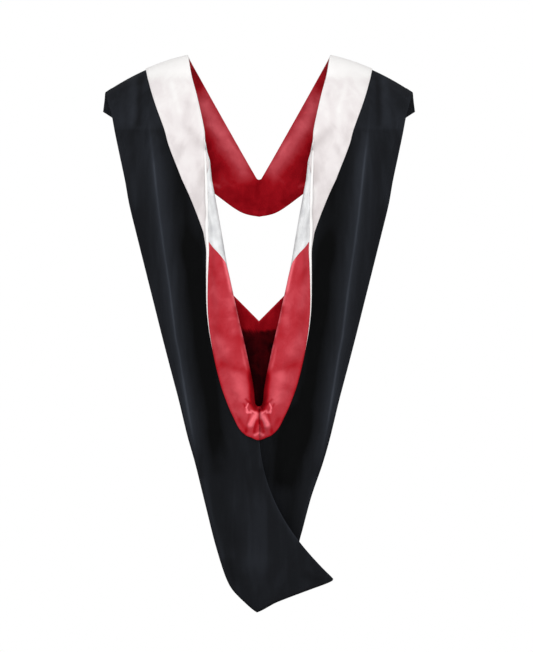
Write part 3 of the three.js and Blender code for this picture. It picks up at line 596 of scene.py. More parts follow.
def readDense(dense, name, rowSeats, columnSeats):
    # the mean of the four points round each seat, by nearness; a seat is a row and a column number
    values = dense[name]
    values = values if values.ndim == 3 else values[..., None]
    i = np.clip(np.floor(rowSeats).astype(int), 0, values.shape[0] - 2)
    j = np.clip(np.floor(columnSeats).astype(int), 0, values.shape[1] - 2)
    u, v = (rowSeats - i)[..., None], (columnSeats - j)[..., None]
    read = ((values[i, j] * (1 - v) + values[i, j + 1] * v) * (1 - u)
            + (values[i + 1, j] * (1 - v) + values[i + 1, j + 1] * v) * u)
    return read if read.shape[-1] == 3 else read[..., 0]


def cutDense(dense, rows, columns, rowShift=0.0, columnShift=0.0):
    # the part of a half at given rows and columns, which may be shifted from point to point
    even = np.ones((len(rows), len(columns)))
    rowSeats = np.interp(rows[:, None] * even + rowShift, dense["rows"], np.arange(len(dense["rows"])))
    columnSeats = np.interp(columns[None] * even + columnShift, fineColumns, np.arange(len(fineColumns)))
    part = {name: readDense(dense, name, rowSeats, columnSeats)
            for name in ("points", "normals", "reach", "fromSide", "radius", "row")}
    part["normals"] = unit(part["normals"])
    sign = dense["half"]["sign"]
    part["x"], part["y"] = pictureOf(part["points"][..., 0] * sign, part["points"][..., 2])
    along = alongOf(part["points"])
    part["at"] = np.stack([part["reach"] * metre, along * metre, 0 * along], -1)
    return part


def reachOut(part, atLast, atFirst):
    # the points on the last and first columns move outwards along the row by the given millimetres
    _, across = gradients(part["points"])
    last, first = part["points"][:, -1:], part["points"][:, :1]
    endsHere = (np.linalg.norm(part["points"] - last, axis=-1) < 1e-6)[..., None]
    startsHere = (np.linalg.norm(part["points"] - first, axis=-1) < 1e-6)[..., None]
    part["points"] = (part["points"] + endsHere * across[:, -1:] * np.reshape(atLast, (-1, 1, 1))
                      - startsHere * across[:, :1] * np.reshape(atFirst, (-1, 1, 1)))


# Finishes: node groups for what several cloths share, and one material for each slot.
def setInputs(node, values):
    # plain values for the named inputs
    for name, value in values.items():
        node.inputs[name].default_value = value


def newMaterial(name):
    # a material with its node tree and shader
    material = bpy.data.materials.new(name)
    material.use_nodes = True
    return material, material.node_tree, material.node_tree.nodes["Principled BSDF"]


def addNode(tree, kind, values=None, links=None, **settings):
    # a node with its settings, plain input values, and links given as input name: output socket
    node = tree.nodes.new(kind)
    for key, value in settings.items():
        setattr(node, key, value)
    setInputs(node, values or {})
    for name, socket in (links or {}).items():
        tree.links.new(socket, node.inputs[name])
    return node


def addMath(tree, operation, *terms):
    # the output of a sum, whose terms are numbers or the outputs of other nodes
    node = addNode(tree, "ShaderNodeMath", operation=operation)
    for seat, term in enumerate(terms):
        if isinstance(term, bpy.types.NodeSocket):
            tree.links.new(term, node.inputs[seat])
        else:
            node.inputs[seat].default_value = term
    return node.outputs[0]


def newGroup(name, output, **inputs):
    # a node group with one output and plain numbers as inputs, each with its first value
    tree = bpy.data.node_groups.new(name, "ShaderNodeTree")
    for label, value in inputs.items():
        socket = tree.interface.new_socket(name=label, in_out="INPUT", socket_type="NodeSocketFloat")
        socket.default_value = value
    tree.interface.new_socket(name=output, in_out="OUTPUT", socket_type="NodeSocketFloat")
    return tree, tree.nodes.new("NodeGroupInput").outputs, tree.nodes.new("NodeGroupOutput").inputs[output]


def makeWeaveGroup():
    # threads that cross: sin(x) + Twill * sin(x + y) of the cloth's own place times Threads, and an
    # uneven thread of noise drawn out along the cloth, times Slub
    tree, given, result = newGroup("clothWeave", "Height", Threads=900.0, Twill=1.0, Slub=0.3)
    at = addNode(tree, "ShaderNodeAttribute", attribute_name="clothAt").outputs["Vector"]
    parts = addNode(tree, "ShaderNodeSeparateXYZ", links={"Vector": at}).outputs
    warp = addMath(tree, "MULTIPLY", parts["X"], given["Threads"])
    lean = addMath(tree, "MULTIPLY_ADD", parts["Y"], given["Threads"], warp)
    twill = addMath(tree, "MULTIPLY_ADD", addMath(tree, "SINE", lean), given["Twill"],
                    addMath(tree, "SINE", warp))
    drawn = addNode(tree, "ShaderNodeVectorMath", {1: (420.0, 60.0, 1.0)}, {0: at}, operation="MULTIPLY")
    slub = addNode(tree, "ShaderNodeTexNoise", {"Scale": 1.0, "Detail": 3.0, "Roughness": 0.6},
                   {"Vector": drawn.outputs[0]})
    tree.links.new(addMath(tree, "MULTIPLY_ADD", slub.outputs["Fac"], given["Slub"], twill), result)
    return tree


def makePatchGroup():
    # soft uneven patches: noise between 0.3 and 0.7, eased to run from Low to High
    tree, given, result = newGroup("softPatches", "Value", Scale=20.0, Length=1.0, Low=0.0, High=1.0)
    at = addNode(tree, "ShaderNodeTexCoord").outputs["Object"]
    pull = addNode(tree, "ShaderNodeCombineXYZ", {"X": 1.0, "Y": 1.0}, {"Z": given["Length"]})
    drawn = addNode(tree, "ShaderNodeVectorMath", None, {0: at, 1: pull.outputs[0]}, operation="MULTIPLY")
    noise = addNode(tree, "ShaderNodeTexNoise", {"Detail": 4.0, "Roughness": 0.55, "Distortion": 0.4},
                    {"Vector": drawn.outputs[0], "Scale": given["Scale"]})
    span = addNode(tree, "ShaderNodeMapRange", {1: 0.3, 2: 0.7},
                   {0: noise.outputs["Fac"], 3: given["Low"], 4: given["High"]},
                   interpolation_type="SMOOTHSTEP")
    tree.links.new(span.outputs[0], result)
    return tree


def makeCreaseGroup():
    # the small creases that satin keeps: |noise - 0.5| * Amount, drawn out along the cloth
    tree, given, result = newGroup("satinCreases", "Height", Scale=30.0, Amount=1.0)
    at = addNode(tree, "ShaderNodeTexCoord").outputs["Object"]
    drawn = addNode(tree, "ShaderNodeVectorMath", {1: (1.0, 1.0, 0.55)}, {0: at}, operation="MULTIPLY")
    wide = addNode(tree, "ShaderNodeTexNoise", {"Detail": 2.0, "Roughness": 0.5, "Distortion": 1.2},
                   {"Vector": drawn.outputs[0], "Scale": given["Scale"]})
    ridged = addMath(tree, "ABSOLUTE", addMath(tree, "SUBTRACT", wide.outputs["Fac"], 0.5))
    tree.links.new(addMath(tree, "MULTIPLY", ridged, given["Amount"]), result)
    return tree


groups = {"weave": makeWeaveGroup(), "patches": makePatchGroup(), "creases": makeCreaseGroup()}


def useGroup(tree, name, values):
    # the output of a group that is placed with its own values
    return addNode(tree, "ShaderNodeGroup", values, node_tree=groups[name]).outputs[0]


def addBumps(tree, shader, heights):
    # bumps laid one on another, each with its strength and depth in metres
    normal = None
    for socket, strength, distance in heights:
        bump = addNode(tree, "ShaderNodeBump", {"Strength": strength, "Distance": distance},
                       links={"Height": socket})
        if normal is not None:
            tree.links.new(normal, bump.inputs["Normal"])
        normal = bump.outputs["Normal"]
    tree.links.new(normal, shader.inputs["Normal"])


def addRamp(tree, stops, factor):
    # the colour at a factor, in a straight line from each stop to the next
    ramp = addNode(tree, "ShaderNodeValToRGB", links={"Fac": factor})
    elements = ramp.color_ramp.elements
    while len(elements) < len(stops):
        elements.new(0.5)
    for element, (position, colour) in zip(elements, stops):
        element.position = position
        element.color = (*colour, 1.0)
    return ramp.outputs["Color"]


# A look is the colours that a tone from 0 to 1 runs through, and the shader's plain values. The tone
# holds painted highlights and painted shade as well as the cloth's own colour.
blackLook = {
    "stops": [(0.0, (0.002, 0.002, 0.002)), (0.34, (0.0085, 0.0092, 0.0112)),
              (0.7, (0.023, 0.026, 0.033)), (1.0, (0.06, 0.068, 0.085))],
    "shader": {"Specular IOR Level": 0.06, "Specular Tint": (0.85, 0.92, 1.0, 1.0)},
}
redLook = {
    "stops": [(0.0, (0.007, 0.0001, 0.0007)), (0.2, (0.1, 0.001, 0.003)), (0.4, (0.235, 0.002, 0.0055)),
              (0.5, (0.36, 0.006, 0.012)), (0.66, (0.46, 0.038, 0.052)), (1.0, (0.86, 0.16, 0.195))],
    "shader": {"Specular IOR Level": 0.25, "Specular Tint": (1.0, 0.1, 0.14, 1.0)},
}
silverLook = {
    "stops": [(0.0, (0.56, 0.565, 0.58)), (0.5, (0.69, 0.695, 0.7)), (1.0, (0.82, 0.825, 0.84))],
    "shader": {"Specular IOR Level": 0.4},
}
velvetLook = {
    "stops": [(0.0, (0.6, 0.55, 0.55)), (0.35, (0.755, 0.71, 0.71)), (0.7, (0.86, 0.84, 0.83)),
              (1.0, (0.91, 0.895, 0.885))],
    "shader": {"Specular IOR Level": 0.12, "Sheen Weight": 0.08, "Sheen Roughness": 0.5},
}
cordLook = {
    "stops": [(0.0, (0.86, 0.84, 0.83)), (1.0, (0.95, 0.935, 0.925))],
    "shader": {"Specular IOR Level": 0.25, "Sheen Weight": 0.06, "Sheen Roughness": 0.5},
}


def makeCloth(name, look, patches, roughness, heights):
    # colour from the piece's own tone, which holds painted light and shade, plus soft patches, roughness
    # from other patches
    material, tree, shader = newMaterial(name)
    setInputs(shader, look["shader"])
    tone = addNode(tree, "ShaderNodeAttribute", attribute_name="tone").outputs["Fac"]
    level = addMath(tree, "ADD", tone, useGroup(tree, "patches", patches))
    tree.links.new(addRamp(tree, look["stops"], level), shader.inputs["Base Color"])
    tree.links.new(useGroup(tree, "patches", roughness), shader.inputs["Roughness"])
    addBumps(tree, shader, [(useGroup(tree, group, values), strength, distance)
                            for group, values, strength, distance in heights])
    return material


# Each finish: its name, look, patches of colour and of roughness, and its bumps as a group with its
# values, a strength and a depth in metres.
materials = {
    "black_cloth": makeCloth(
        "blackPanama", blackLook, {"Scale": 60.0, "Length": 0.12, "Low": -0.05, "High": 0.05},
        {"Scale": 30.0, "Low": 0.52, "High": 0.64},
        [("weave", {"Threads": 6000.0, "Twill": 1.0, "Slub": 2.0}, 0.25, 0.00012)]),
    "red_satin": makeCloth(
        "redSatin", redLook, {"Scale": 34.0, "Low": -0.05, "High": 0.05},
        {"Scale": 55.0, "Low": 0.34, "High": 0.46},
        [("creases", {"Scale": 42.0, "Amount": 1.0}, 0.35, 0.006),
         ("weave", {"Threads": 8000.0, "Twill": 0.3, "Slub": 2.5}, 0.1, 0.0001)]),
    "silver_satin": makeCloth(
        "silverSatin", silverLook, {"Scale": 45.0, "Low": -0.25, "High": 0.25},
        {"Scale": 50.0, "Low": 0.3, "High": 0.44},
        [("creases", {"Scale": 60.0, "Amount": 1.0}, 0.5, 0.006),
         ("weave", {"Threads": 8000.0, "Twill": 0.3, "Slub": 2.5}, 0.1, 0.0001)]),
    "white_velvet": makeCloth(
        "whiteVelvet", velvetLook, {"Scale": 38.0, "Length": 0.6, "Low": -0.13, "High": 0.13},
        {"Scale": 300.0, "Low": 0.85, "High": 0.98},
        [("creases", {"Scale": 900.0, "Amount": 1.0}, 0.25, 0.0006)]),
    "white_cord": makeCloth(
        "whiteCord", cordLook, {"Scale": 60.0, "Low": -0.15, "High": 0.15},
        {"Scale": 80.0, "Low": 0.55, "High": 0.68},
        [("weave", {"Threads": 2600.0, "Twill": 1.0, "Slub": 0.5}, 0.3, 0.0003)]),
}
print("materials made")


# Pieces: each lies between two offsets from the middle of the cloth, in mm, outwards.
clothOffsets = (layer["sewnGap"] / 2, layer["sewnGap"] / 2 + layer["cloth"])
liningOffsets = (-layer["sewnGap"] / 2 - layer["lining"], -layer["sewnGap"] / 2)
trimOffsets = (clothOffsets[1] + layer["sewnGap"], clothOffsets[1] + layer["sewnGap"] + layer["trim"])


def finishPiece(piece, node, slot):
    # its finish, its body, and the CAD node that it stands for, if there is one
    piece.data.materials.append(materials[slot])
    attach(piece, "root")
    if node:
        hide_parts(node)


# Where the collar starts to turn: the rows over which the cloth's edge draws in, and lets go again.
turning = {"from": 11.5, "fromSpan": 0.3, "till": 13.2, "tillSpan": 0.6}
# The seam of silver and red, and so the ends of both, lean by these parts of a row at each column.
seamLean = ([0, 9.4, 10, 10.4, 10.8, 12, 13.4, 15], [0.9, 0.9, 0.8, 0.42, 0.12, -0.02, -0.12, -0.22])
# What is set for each piece: tones, reaches in mm, and insets in columns.
# The shell's shoulder light, flap edge and upper rim are painted highlights; the tail's rim is darker.
shell = {"edgeBack": 5.6, "tone": 0.34, "yoke": 0.08, "yokeY": 128, "flapEdgeHighlight": 0.14, "upperRimHighlight": 0.06,
         "tailRim": -0.2, "rimWidth": 1.5}
# the band's share is the strength of the painted highlight along the neck edge
frontLining = {"tone": 0.45, "bandHighlightShare": 0.36, "sideInset": 0.85, "neckReach": 1.3, "rimReach": 1.0}
chevron = {"tone": 0.5, "edgeReach": 1.2}
# the collar's rose tone holds a painted sheen, the inside's tone is painted shade, and edge is a painted
# shade along the collar's free edge
lining = {"tone": 0.645, "insideShadeTone": 0.02, "edge": -0.16, "edgeWidth": 1.8, "sideInset": 0.05}
# the trim's crest is painted light on the shoulder's top, and lower is painted shade down the back
trim = {"tone": 0.46, "crest": 0.54, "lower": -0.24, "edgeReach": 0.2, "neckReach": 0.8,
        "rolledIn": ([11.4, 11.7, 12.6, 13.4, 14.5, 16], [0, 6.6, 6.6, 2.6, 2.2, -0.1])}  # rows, columns


def toneOfPanel(part, hand):
    # painted light and shade on the black cloth: painted highlights along the pressed crease, on the
    # shoulder's top, along the flap's last row and the upper edges, painted shade in the valley beside
    # the crease, and darker along the tail's edge: the sum of the shades, the shoulder's light above its
    # pixel row, the flap's edge and the rim, exp(-distance / rimWidth)
    shades = panelPaintedLight + (leftPaintedLight if hand == "left" else rightPaintedShade)
    yoke = shell["yoke"] * (1 - smooth((part["y"] - shell["yokeY"]) / 3))
    flapEdgeHighlight = shell["flapEdgeHighlight"] * smooth((part["row"] - 29.9) / 0.1) if hand == "left" else 0
    rim = np.where(part["row"] < 20, shell["upperRimHighlight"], shell["tailRim"])
    return (shell["tone"] + ridgeField(part["x"], part["y"], shades) + yoke + flapEdgeHighlight
            + rim * np.exp(-part["fromSide"] / shell["rimWidth"]))


def toneOfLining(part):
    # the tones of one red satin stand in for its light: rose on the collar and along the front V is a
    # painted sheen, deep red is the rest, and nearly black in the pouch is painted shade; the inside's
    # tone eases into the collar's as the cloth comes round the fold, a painted shade on the roll's inner
    # side, and the collar's free edge is darker below pixel row 340, also painted shade
    x, y, reach = part["x"], part["y"], part["reach"]
    # the front V: its tone, a painted highlight along the neck edge, and painted light and shade
    frontTone = (frontLining["tone"] + frontLining["bandHighlightShare"] * ridgeField(x, y, bandPaintedHighlight)
                 + ridgeField(x, y, frontPaintedLight))
    edge = np.exp((reach - reach[:, -1:]) / lining["edgeWidth"]) * smooth((y - 340) / 20)
    collarTone = lining["tone"] + ridgeField(x, y, collarPaintedLight) + lining["edge"] * edge
    turned = smooth((reach - 0.6 * part["radius"]) / (0.5 * part["radius"]))
    return np.where(part["row"] < row["crest"], frontTone,
                    lining["insideShadeTone"] + (collarTone - lining["insideShadeTone"]) * turned)


def toneOfTrim(part):
    # brightest on the crest of the shoulder, and greyer down the back: painted light where the shoulder
    # faces up, painted shade down the back, and the painted light and shade of the trim's folds
    return (trim["tone"] + trim["crest"] * smooth((84 - part["y"]) / 14)
            + trim["lower"] * smooth((part["y"] - 105) / 95) + ridgeField(part["x"], part["y"], trimPaintedLight))


def collarStart(rows):
    # 1 where the collar starts to turn, with a smooth step on each side
    return (smooth((rows - turning["from"]) / turning["fromSpan"])
            * (1 - smooth((rows - turning["till"]) / turning["tillSpan"])))


def dressHalf(half):
    # every piece of a half is a part of its one cloth, between two rows and at its own offsets;
    # a piece is shifted, or reaches further, where it has to cover or clear its neighbour's edge
    hand, sign = half["name"], half["sign"]
    dense = denseHalf(half)
    rows = dense["rows"]
    seam = row["seamGap"] / 2
    print("half", hand, "has", len(rows), "rows and", len(fineColumns), "columns")
    lean = np.interp(fineColumns, *seamLean)[None]

    def add(name, node, slot, part, offsets, tone):
        # the part as a closed wall of cloth, with its tone
        piece = wall(name + hand.title(), part["points"], part["normals"], offsets,
                     {"tone": tone, "clothAt": part["at"]}, sign)
        tellFlat(piece.name, np.ptp(part["reach"], axis=1).max() * metre, part["at"][-1, :, 1].max(),
                 part["points"])
        finishPiece(piece, f"{node}_{hand}", slot)

    # where the collar starts, the shell's edge stands back and the trim closes onto the lining
    back = -shell["edgeBack"] * collarStart(rows)[:, None] * smooth((fineColumns - column["fold"]) / 7)[None]
    part = cutDense(dense, rows, fineColumns, columnShift=back)
    add("shell", "shell", "black_cloth", part, clothOffsets, toneOfPanel(part, hand))

    # the front lining stays inside the side edge near the shoulder's corner, and covers the cloth's
    # edge along the V and below it
    stops = rowsBetween(rows, 0, row["crest"] - seam)
    inset = (frontLining["sideInset"] * smooth((stops - 3) / 1.6)[:, None]
             * np.maximum(0, 1 - fineColumns / column["trim"])[None])
    part = cutDense(dense, stops, fineColumns, columnShift=inset)
    reachOut(part, frontLining["neckReach"] * (1 - smooth(stops - 6)),
             frontLining["rimReach"] * (1 - smooth((stops - 2.6) / 0.6)))
    add("frontLining", "lining_front", "red_satin", part, liningOffsets, toneOfLining(part))

    inset = lining["sideInset"] * np.maximum(0, 1 - fineColumns)[None]
    stops = rowsBetween(rows, row["crest"] + seam, row["seam"] - seam)
    upper = lean * smooth((stops - 13.2) / 2.8)[:, None]
    part = cutDense(dense, stops, fineColumns, upper, inset)
    reachOut(part, chevron["edgeReach"] * collarStart(stops), 0 * stops)
    # the silver's tone, with painted light and shade on its crinkles
    add("chevron", "chevron", "silver_satin", part, liningOffsets,
        chevron["tone"] + ridgeField(part["x"], part["y"], silverPaintedLight))

    stops = rowsBetween(rows, row["seam"] + seam, row["last"])
    lower = lean * (1 - smooth((stops - row["seam"]) / 2.4))[:, None]
    part = cutDense(dense, stops, fineColumns, lower, inset)
    add("lining", "lining", "red_satin", part, liningOffsets, toneOfLining(part))

    # the trim ends at the neck edge, and is rolled in with the cloth where the collar starts
    columns = fineColumns[(fineColumns >= column["trim"]) & (fineColumns <= column["fold"])]
    stops = rowsBetween(rows, 0, row["trimEnd"])
    pulled = (np.interp(stops, *trim["rolledIn"])[:, None]
              * smooth((columns - column["margin"]) / (column["fold"] - column["margin"]))[None])
    part = cutDense(dense, stops, columns, columnShift=pulled)
    closed = collarStart(stops)[:, None] * smooth((columns[None] + pulled - 9) / 2)
    part["points"] -= part["normals"] * (layer["cloth"] + layer["sewnGap"] - 0.1) * closed[..., None]
    neck = smooth((stops - 6.7) / 0.3) * (1 - smooth((stops - 11.5) / 0.5))
    reachOut(part, trim["edgeReach"] + trim["neckReach"] * neck, 0 * stops)
    add("trim", "trim", "white_velvet", part, trimOffsets, toneOfTrim(part))

    addCord(dense)
    addHalfStitches(dense)


cordStops = np.array([  # row, width as a share of the cord's diameter
    [7.02, 0.26], [7.5, 0.3], [8, 0.3], [11, 0.33], [11.6, 0.38], [12.2, 0.5], [12.8, 0.68], [13.5, 0.84],
    [14, 0.94], [14.5, 1], [16, 1], [17, 0.84], [18, 0.58], [19, 0.38], [20.2, 0.16]])
cord = {"diameter": 5.8, "sides": 18, "steps": 330, "gap": 0.25, "straight": (11.2, 13.3), "rounds": 12}


def tubeFrom(name, centre, out, up, along, radius, sides, fields):
    # a round tube on a centre line: out * cos(angle) + up * sin(angle), times the radius
    seats, size, past = endCaps(len(centre))
    angle = np.linspace(0, 2 * np.pi, sides, endpoint=False)[:, None]
    centre, out, up, along = (line[seats][:, None] for line in (centre, out, up, along))
    section = (out * np.cos(angle) + up * np.sin(angle)) * size
    ring = centre + (along * past + section) * radius[seats][:, None, None]
    spread = {label: np.repeat(values[seats][:, None], sides, axis=1) for label, values in fields.items()}
    return meshFrom(name, ring.reshape(-1, 3), ringFaces(np.arange(len(seats) - 1) * sides, sides), spread)


def addCord(dense):
    # a round cord beside the collar's free edge: its centre is its radius and a gap beyond it
    half = dense["half"]
    stops = np.linspace(cordStops[0, 0], cordStops[-1, 0], cord["steps"])
    part = cutDense(dense, stops, fineColumns)
    _, across = gradients(part["points"])
    edge = part["points"][:, -1] + part["normals"][:, -1] * layer["cloth"] / 2
    along = unit(np.gradient(edge, axis=0))
    beyond = unit(across[:, -1] - along * (across[:, -1] * along).sum(-1, keepdims=True))
    radius = np.interp(stops, cordStops[:, 0], cordStops[:, 1]) * cord["diameter"] / 2
    centre = edge + beyond * (radius + cord["gap"])[:, None]
    # the cord runs straight on where the collar starts to turn
    first, last = np.searchsorted(stops, cord["straight"])
    share = np.linspace(0, 1, last - first + 1)[:, None]
    centre[first:last + 1] = centre[first] * (1 - share) + centre[last] * share
    for _ in range(cord["rounds"]):
        centre[1:-1] = (centre[:-2] + 2 * centre[1:-1] + centre[2:]) / 4
    along = unit(np.gradient(centre, axis=0))
    up = unit(np.cross(along, beyond))
    run = alongOf(centre) * metre
    piece = tubeFrom("piping" + half["name"].title(), centre, np.cross(up, along), up, along, radius,
                     cord["sides"], {"tone": 0.5 + 0 * run, "clothAt": np.stack([0 * run, run, 0 * run], -1)})
    finishPiece(piece, f"piping_{half['name']}", "white_cord")


stitch = {"length": 2.5, "spacing": 3.6, "thread": 0.27, "sides": 6, "proud": 0.35}


def addStitches(name, slot, tone, line, normals):
    # one small rounded stitch every few millimetres along a line that lies on a face of the cloth:
    # five rings round its length, the first and last of them points
    run = alongOf(line)
    places = np.arange(stitch["spacing"], run[-1] - stitch["spacing"], stitch["spacing"])
    centre = np.stack([np.interp(places, run, line[:, k]) for k in range(3)], -1)
    up = unit(np.stack([np.interp(places, run, normals[:, k]) for k in range(3)], -1))
    along = unit(np.gradient(centre, axis=0))
    side = unit(np.cross(along, up))
    centre, along, side, up = (vectors[:, None, None] for vectors in (centre, along, side, up))
    reach = np.array([-0.5, -0.36, 0, 0.36, 0.5])[:, None, None] * stitch["length"]
    size = np.array([0, 0.8, 1, 0.8, 0])[:, None, None] * stitch["thread"]
    angle = np.linspace(0, 2 * np.pi, stitch["sides"], endpoint=False)[:, None]
    ring = (centre + along * reach + (side * np.cos(angle) + up * np.sin(angle)) * size
            + up * stitch["proud"] * stitch["thread"])
    count, rings, sides = ring.shape[:3]
    starts = (np.arange(count)[:, None] * rings + np.arange(rings - 1)) * sides
    piece = meshFrom(name, ring.reshape(-1, 3), ringFaces(starts, sides), {
        "tone": np.full((count, rings * sides), tone), "clothAt": np.zeros((count, rings * sides, 3))})
    finishPiece(piece, None, slot)


def addHalfStitches(dense):
    # along the turned hem, the trim's outer edge, and the collar's free edge
    hand = dense["half"]["name"].title()
    rows = dense["rows"]

    def lineAt(first, last, seatsOf, offset):
        # the points and normals of a line through one column seat of each row, on a face
        stops = rowsBetween(rows, first, last)
        rowSeats = np.interp(stops, rows, np.arange(len(rows)))
        seats = seatsOf(np.clip(np.round(rowSeats).astype(int), 0, len(rows) - 1))
        points = readDense(dense, "points", rowSeats, seats)
        normals = unit(readDense(dense, "normals", rowSeats, seats))
        return points + normals * offset, normals * np.sign(offset)

    def hemSeats(seats):
        # the column seats where the side edge is as far as the hem is deep
        near = dense["fromSide"][seats]
        j = np.maximum((near < hem["depth"]).sum(axis=1) - 1, 0)
        low = np.take_along_axis(near, j[:, None], 1)[:, 0]
        high = np.take_along_axis(near, j[:, None] + 1, 1)[:, 0]
        return j + (hem["depth"] - low) / np.maximum(high - low, 1e-6)

    def trimSeats(seats):
        # just inside the trim's outer edge
        return np.full(len(seats), 4 * grain["sideSteps"] + 0.7)

    def edgeSeats(seats):
        # just inside the collar's free edge
        return np.full(len(seats), len(fineColumns) - 1.8)

    for name, slot, tone, first, last, seatsOf, offset in [
            ("hemStitches", "black_cloth", 0.42, 0.15, 29.9, hemSeats, clothOffsets[1]),
            ("trimStitches", "white_velvet", 0.5, 0.2, 17.9, trimSeats, trimOffsets[1]),
            ("silverStitches", "silver_satin", 0.6, 13.1, 15.7, edgeSeats, liningOffsets[0]),
            ("collarStitches", "red_satin", 0.6, 16.1, 29.6, edgeSeats, liningOffsets[0])]:
        addStitches(name + hand, slot, tone, *lineAt(first, last, seatsOf, offset))


backLayer = {
    "inset": 5, "flapInset": 12, "rows": 120, "columns": 131, "facingLow": 330.0, "edgeReach": 0.8,
}


def addBackLayer():
    # straight lines from the left side to the middle and on to the right side, from the open V to
    # the tail's tip, all on the body form
    share = np.linspace(0, 1, backLayer["rows"])
    place = np.interp(share, [0, 0.09, 0.2, 0.32, 0.44, 0.56, 0.68, 0.79, 0.88, 0.94, 1],
                      [0, 0.1, 0.21, 0.33, 0.45, 0.57, 0.69, 0.8, 0.88, 0.94, 1])
    meet = row["corner"] - 1  # the right side passes under the flap's edge here
    index = row["pouch"] + (row["corner"] - row["pouch"]) * place

    def sideAt(half, rows):
        # the side edge of a half at its rows, across and down
        return planOf(half, rows)["side"]

    tip, flapEnd = sideAt(leftHalf, np.array([row["tip"], row["last"]], dtype=float))
    left = sideAt(leftHalf, index) * (-1, 1)
    under = np.clip(index - meet, 0, 1)[:, None]
    right = sideAt(rightHalf, np.minimum(index, meet)) * (1 - under) + flapEnd * (-1, 1) * under
    right[:, 0] -= backLayer["flapInset"] * smooth((index - meet + 0.8) / 0.8)
    middle = np.stack([-tip[0] * share, -hood["backVDrop"]
                       + (tip[1] + backLayer["inset"] + hood["backVDrop"]) * share], -1)
    across = np.linspace(-1, 1, backLayer["columns"])
    end = np.where(across[None, :, None] < 0, left[:, None], right[:, None])
    reach = end - middle[:, None]
    length = np.linalg.norm(reach, axis=-1, keepdims=True)
    spot = middle[:, None] + reach * np.abs(across)[None, :, None] * (1 - backLayer["inset"] / length)
    below = -spot[..., 1] - crestFall(spot[..., 0])
    swell = 0.4 * ripple(spot[..., 0], spot[..., 1], 70, 5)
    points = onBody(spot[..., 0], below, -np.ones_like(below), swell)
    normals = normalsOf(points, -1)
    along = alongOf(points)
    at = np.stack([points[..., 0] * metre, along * metre, 0 * along], -1)
    x, y = pictureOf(np.abs(points[..., 0]), points[..., 2])
    # the facing is a plain red wedge under the V, level along its lower edge
    facing = 1 - smooth((y - backLayer["facingLow"] - 0.1 * (x - 244)) / 1.6 + 0.5)
    # below the facing the lining is nearly black and darker towards the bottom: painted shade in the pouch.
    # The ripple is painted light and shade of soft folds, and the lift along the upper edge, exp(-along / 2),
    # a painted highlight
    folds = 0.05 * ripple(points[..., 0], points[..., 2] / 9, 6, 11) + 0.1 * np.exp(-along / 2)
    liningTone = 0.045 - 0.05 * smooth((y - 358) / 28) + 0.365 * facing + folds * (0.3 + facing)
    second = (clothOffsets[1] + layer["sewnGap"], clothOffsets[1] + layer["sewnGap"] + layer["lining"])
    # the black cloth's tone is lighter along its upper edge too: a painted highlight
    for name, node, slot, offsets, tone in [
            ("shellBack", "shell_back", "black_cloth", clothOffsets, 0.4 + 0.1 * np.exp(-along / 2)),
            ("liningBack", "lining_back", "red_satin", second, liningTone)]:
        # the lining covers the cloth's upper edge
        reach = backLayer["edgeReach"] if name == "liningBack" else 0
        grid = points - unit(np.gradient(points, axis=0)) * (along < 1e-6)[..., None] * reach
        piece = wall(name, grid, normals, offsets, {"tone": tone, "clothAt": at})
        tellFlat(name, np.ptp(points[..., 0], axis=1).max() * metre, along.max() * metre, points)
        finishPiece(piece, node, slot)
    line = points[1] + normals[1] * second[1]
    addStitches("facingStitches", "red_satin", 0.36, line[4:-4], normals[1][4:-4])


dressHalf(leftHalf)
dressHalf(rightHalf)
addBackLayer()
print("pieces made")


# The studio: a pale floor, soft lights and the camera, in metres and watts.
studio = {
    "floorHeight": -1.42, "floorSize": (16.0, 20.0),
    "lens": 500.0, "viewPoint": (0.0124, -0.08, -0.4439), "metresPerLens": 0.02988,
    "worldLight": 0.34, "worldSeen": 1.0,
}
lights = [  # name, place, aimed at, size, watts, seen in glossy reflections
    ["leftSoftbox", (-2.9, -2.4, 1.2), (0, 0, -0.45), 1.8, 20, True],
    ["rightSoftbox", (2.9, -2.4, 1.2), (0, 0, -0.45), 1.8, 18, True],
    ["frontSoftbox", (0.0, -4.6, 0.5), (0, 0, -0.35), 2.4, 108, False],
    ["topSoftbox", (0.0, -0.6, 3.2), (0, 0, -0.4), 2.0, 30, True],
]


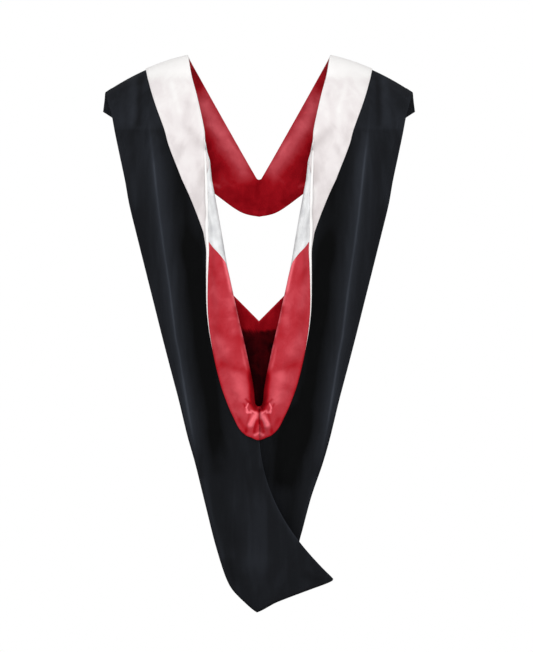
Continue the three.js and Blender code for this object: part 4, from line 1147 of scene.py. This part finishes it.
def aim(thing, place, target):
    # at its place, with its -Z towards the target
    thing.location = place
    thing.rotation_euler = (Vector(target) - Vector(place)).to_track_quat("-Z", "Y").to_euler()


def addStudio():
    # the camera stands back from the view point by its lens in mm times metresPerLens
    scene = bpy.context.scene
    scene.view_settings.view_transform = "Standard"
    width, depth = studio["floorSize"]
    z = studio["floorHeight"]
    floorMesh = bpy.data.meshes.new("studioFloor")
    floorMesh.from_pydata([(-width / 2, -depth / 2, z), (width / 2, -depth / 2, z),
                           (width / 2, depth / 2, z), (-width / 2, depth / 2, z)], [], [(0, 1, 2, 3)])
    floor = bpy.data.objects.new("studioFloor", floorMesh)
    scene.collection.objects.link(floor)
    material, _, shader = newMaterial("paleFloor")
    setInputs(shader, {"Base Color": (0.9, 0.9, 0.9, 1.0), "Roughness": 0.8})
    floor.data.materials.append(material)
    for name, place, target, size, power, glossy in lights:
        data = bpy.data.lights.new(name, "AREA")
        data.shape = "DISK"
        data.size = size
        data.energy = power
        lamp = bpy.data.objects.new(name, data)
        lamp.visible_glossy = glossy
        scene.collection.objects.link(lamp)
        aim(lamp, place, target)
    world = bpy.data.worlds.new("studioWhite")
    scene.world = world
    world.use_nodes = True
    nodes, links = world.node_tree.nodes, world.node_tree.links
    nodes["Background"].inputs["Color"].default_value = (1, 1, 1, 1)
    path = nodes.new("ShaderNodeLightPath")
    strength = nodes.new("ShaderNodeMapRange")
    links.new(path.outputs["Is Camera Ray"], strength.inputs[0])
    strength.inputs[3].default_value = studio["worldLight"]
    strength.inputs[4].default_value = studio["worldSeen"]
    links.new(strength.outputs[0], nodes["Background"].inputs["Strength"])
    cameraData = bpy.data.cameras.new("studioCamera")
    cameraData.sensor_fit = "AUTO"
    cameraData.sensor_width = 36.0
    cameraData.lens = studio["lens"]
    cameraData.clip_start = 0.5
    cameraData.clip_end = 60.0
    camera = bpy.data.objects.new("studioCamera", cameraData)
    scene.collection.objects.link(camera)
    x, y, z = studio["viewPoint"]
    aim(camera, (x, y - studio["lens"] * studio["metresPerLens"], z), (x, y, z))
    scene.camera = camera
    print("studio made")


addStudio()
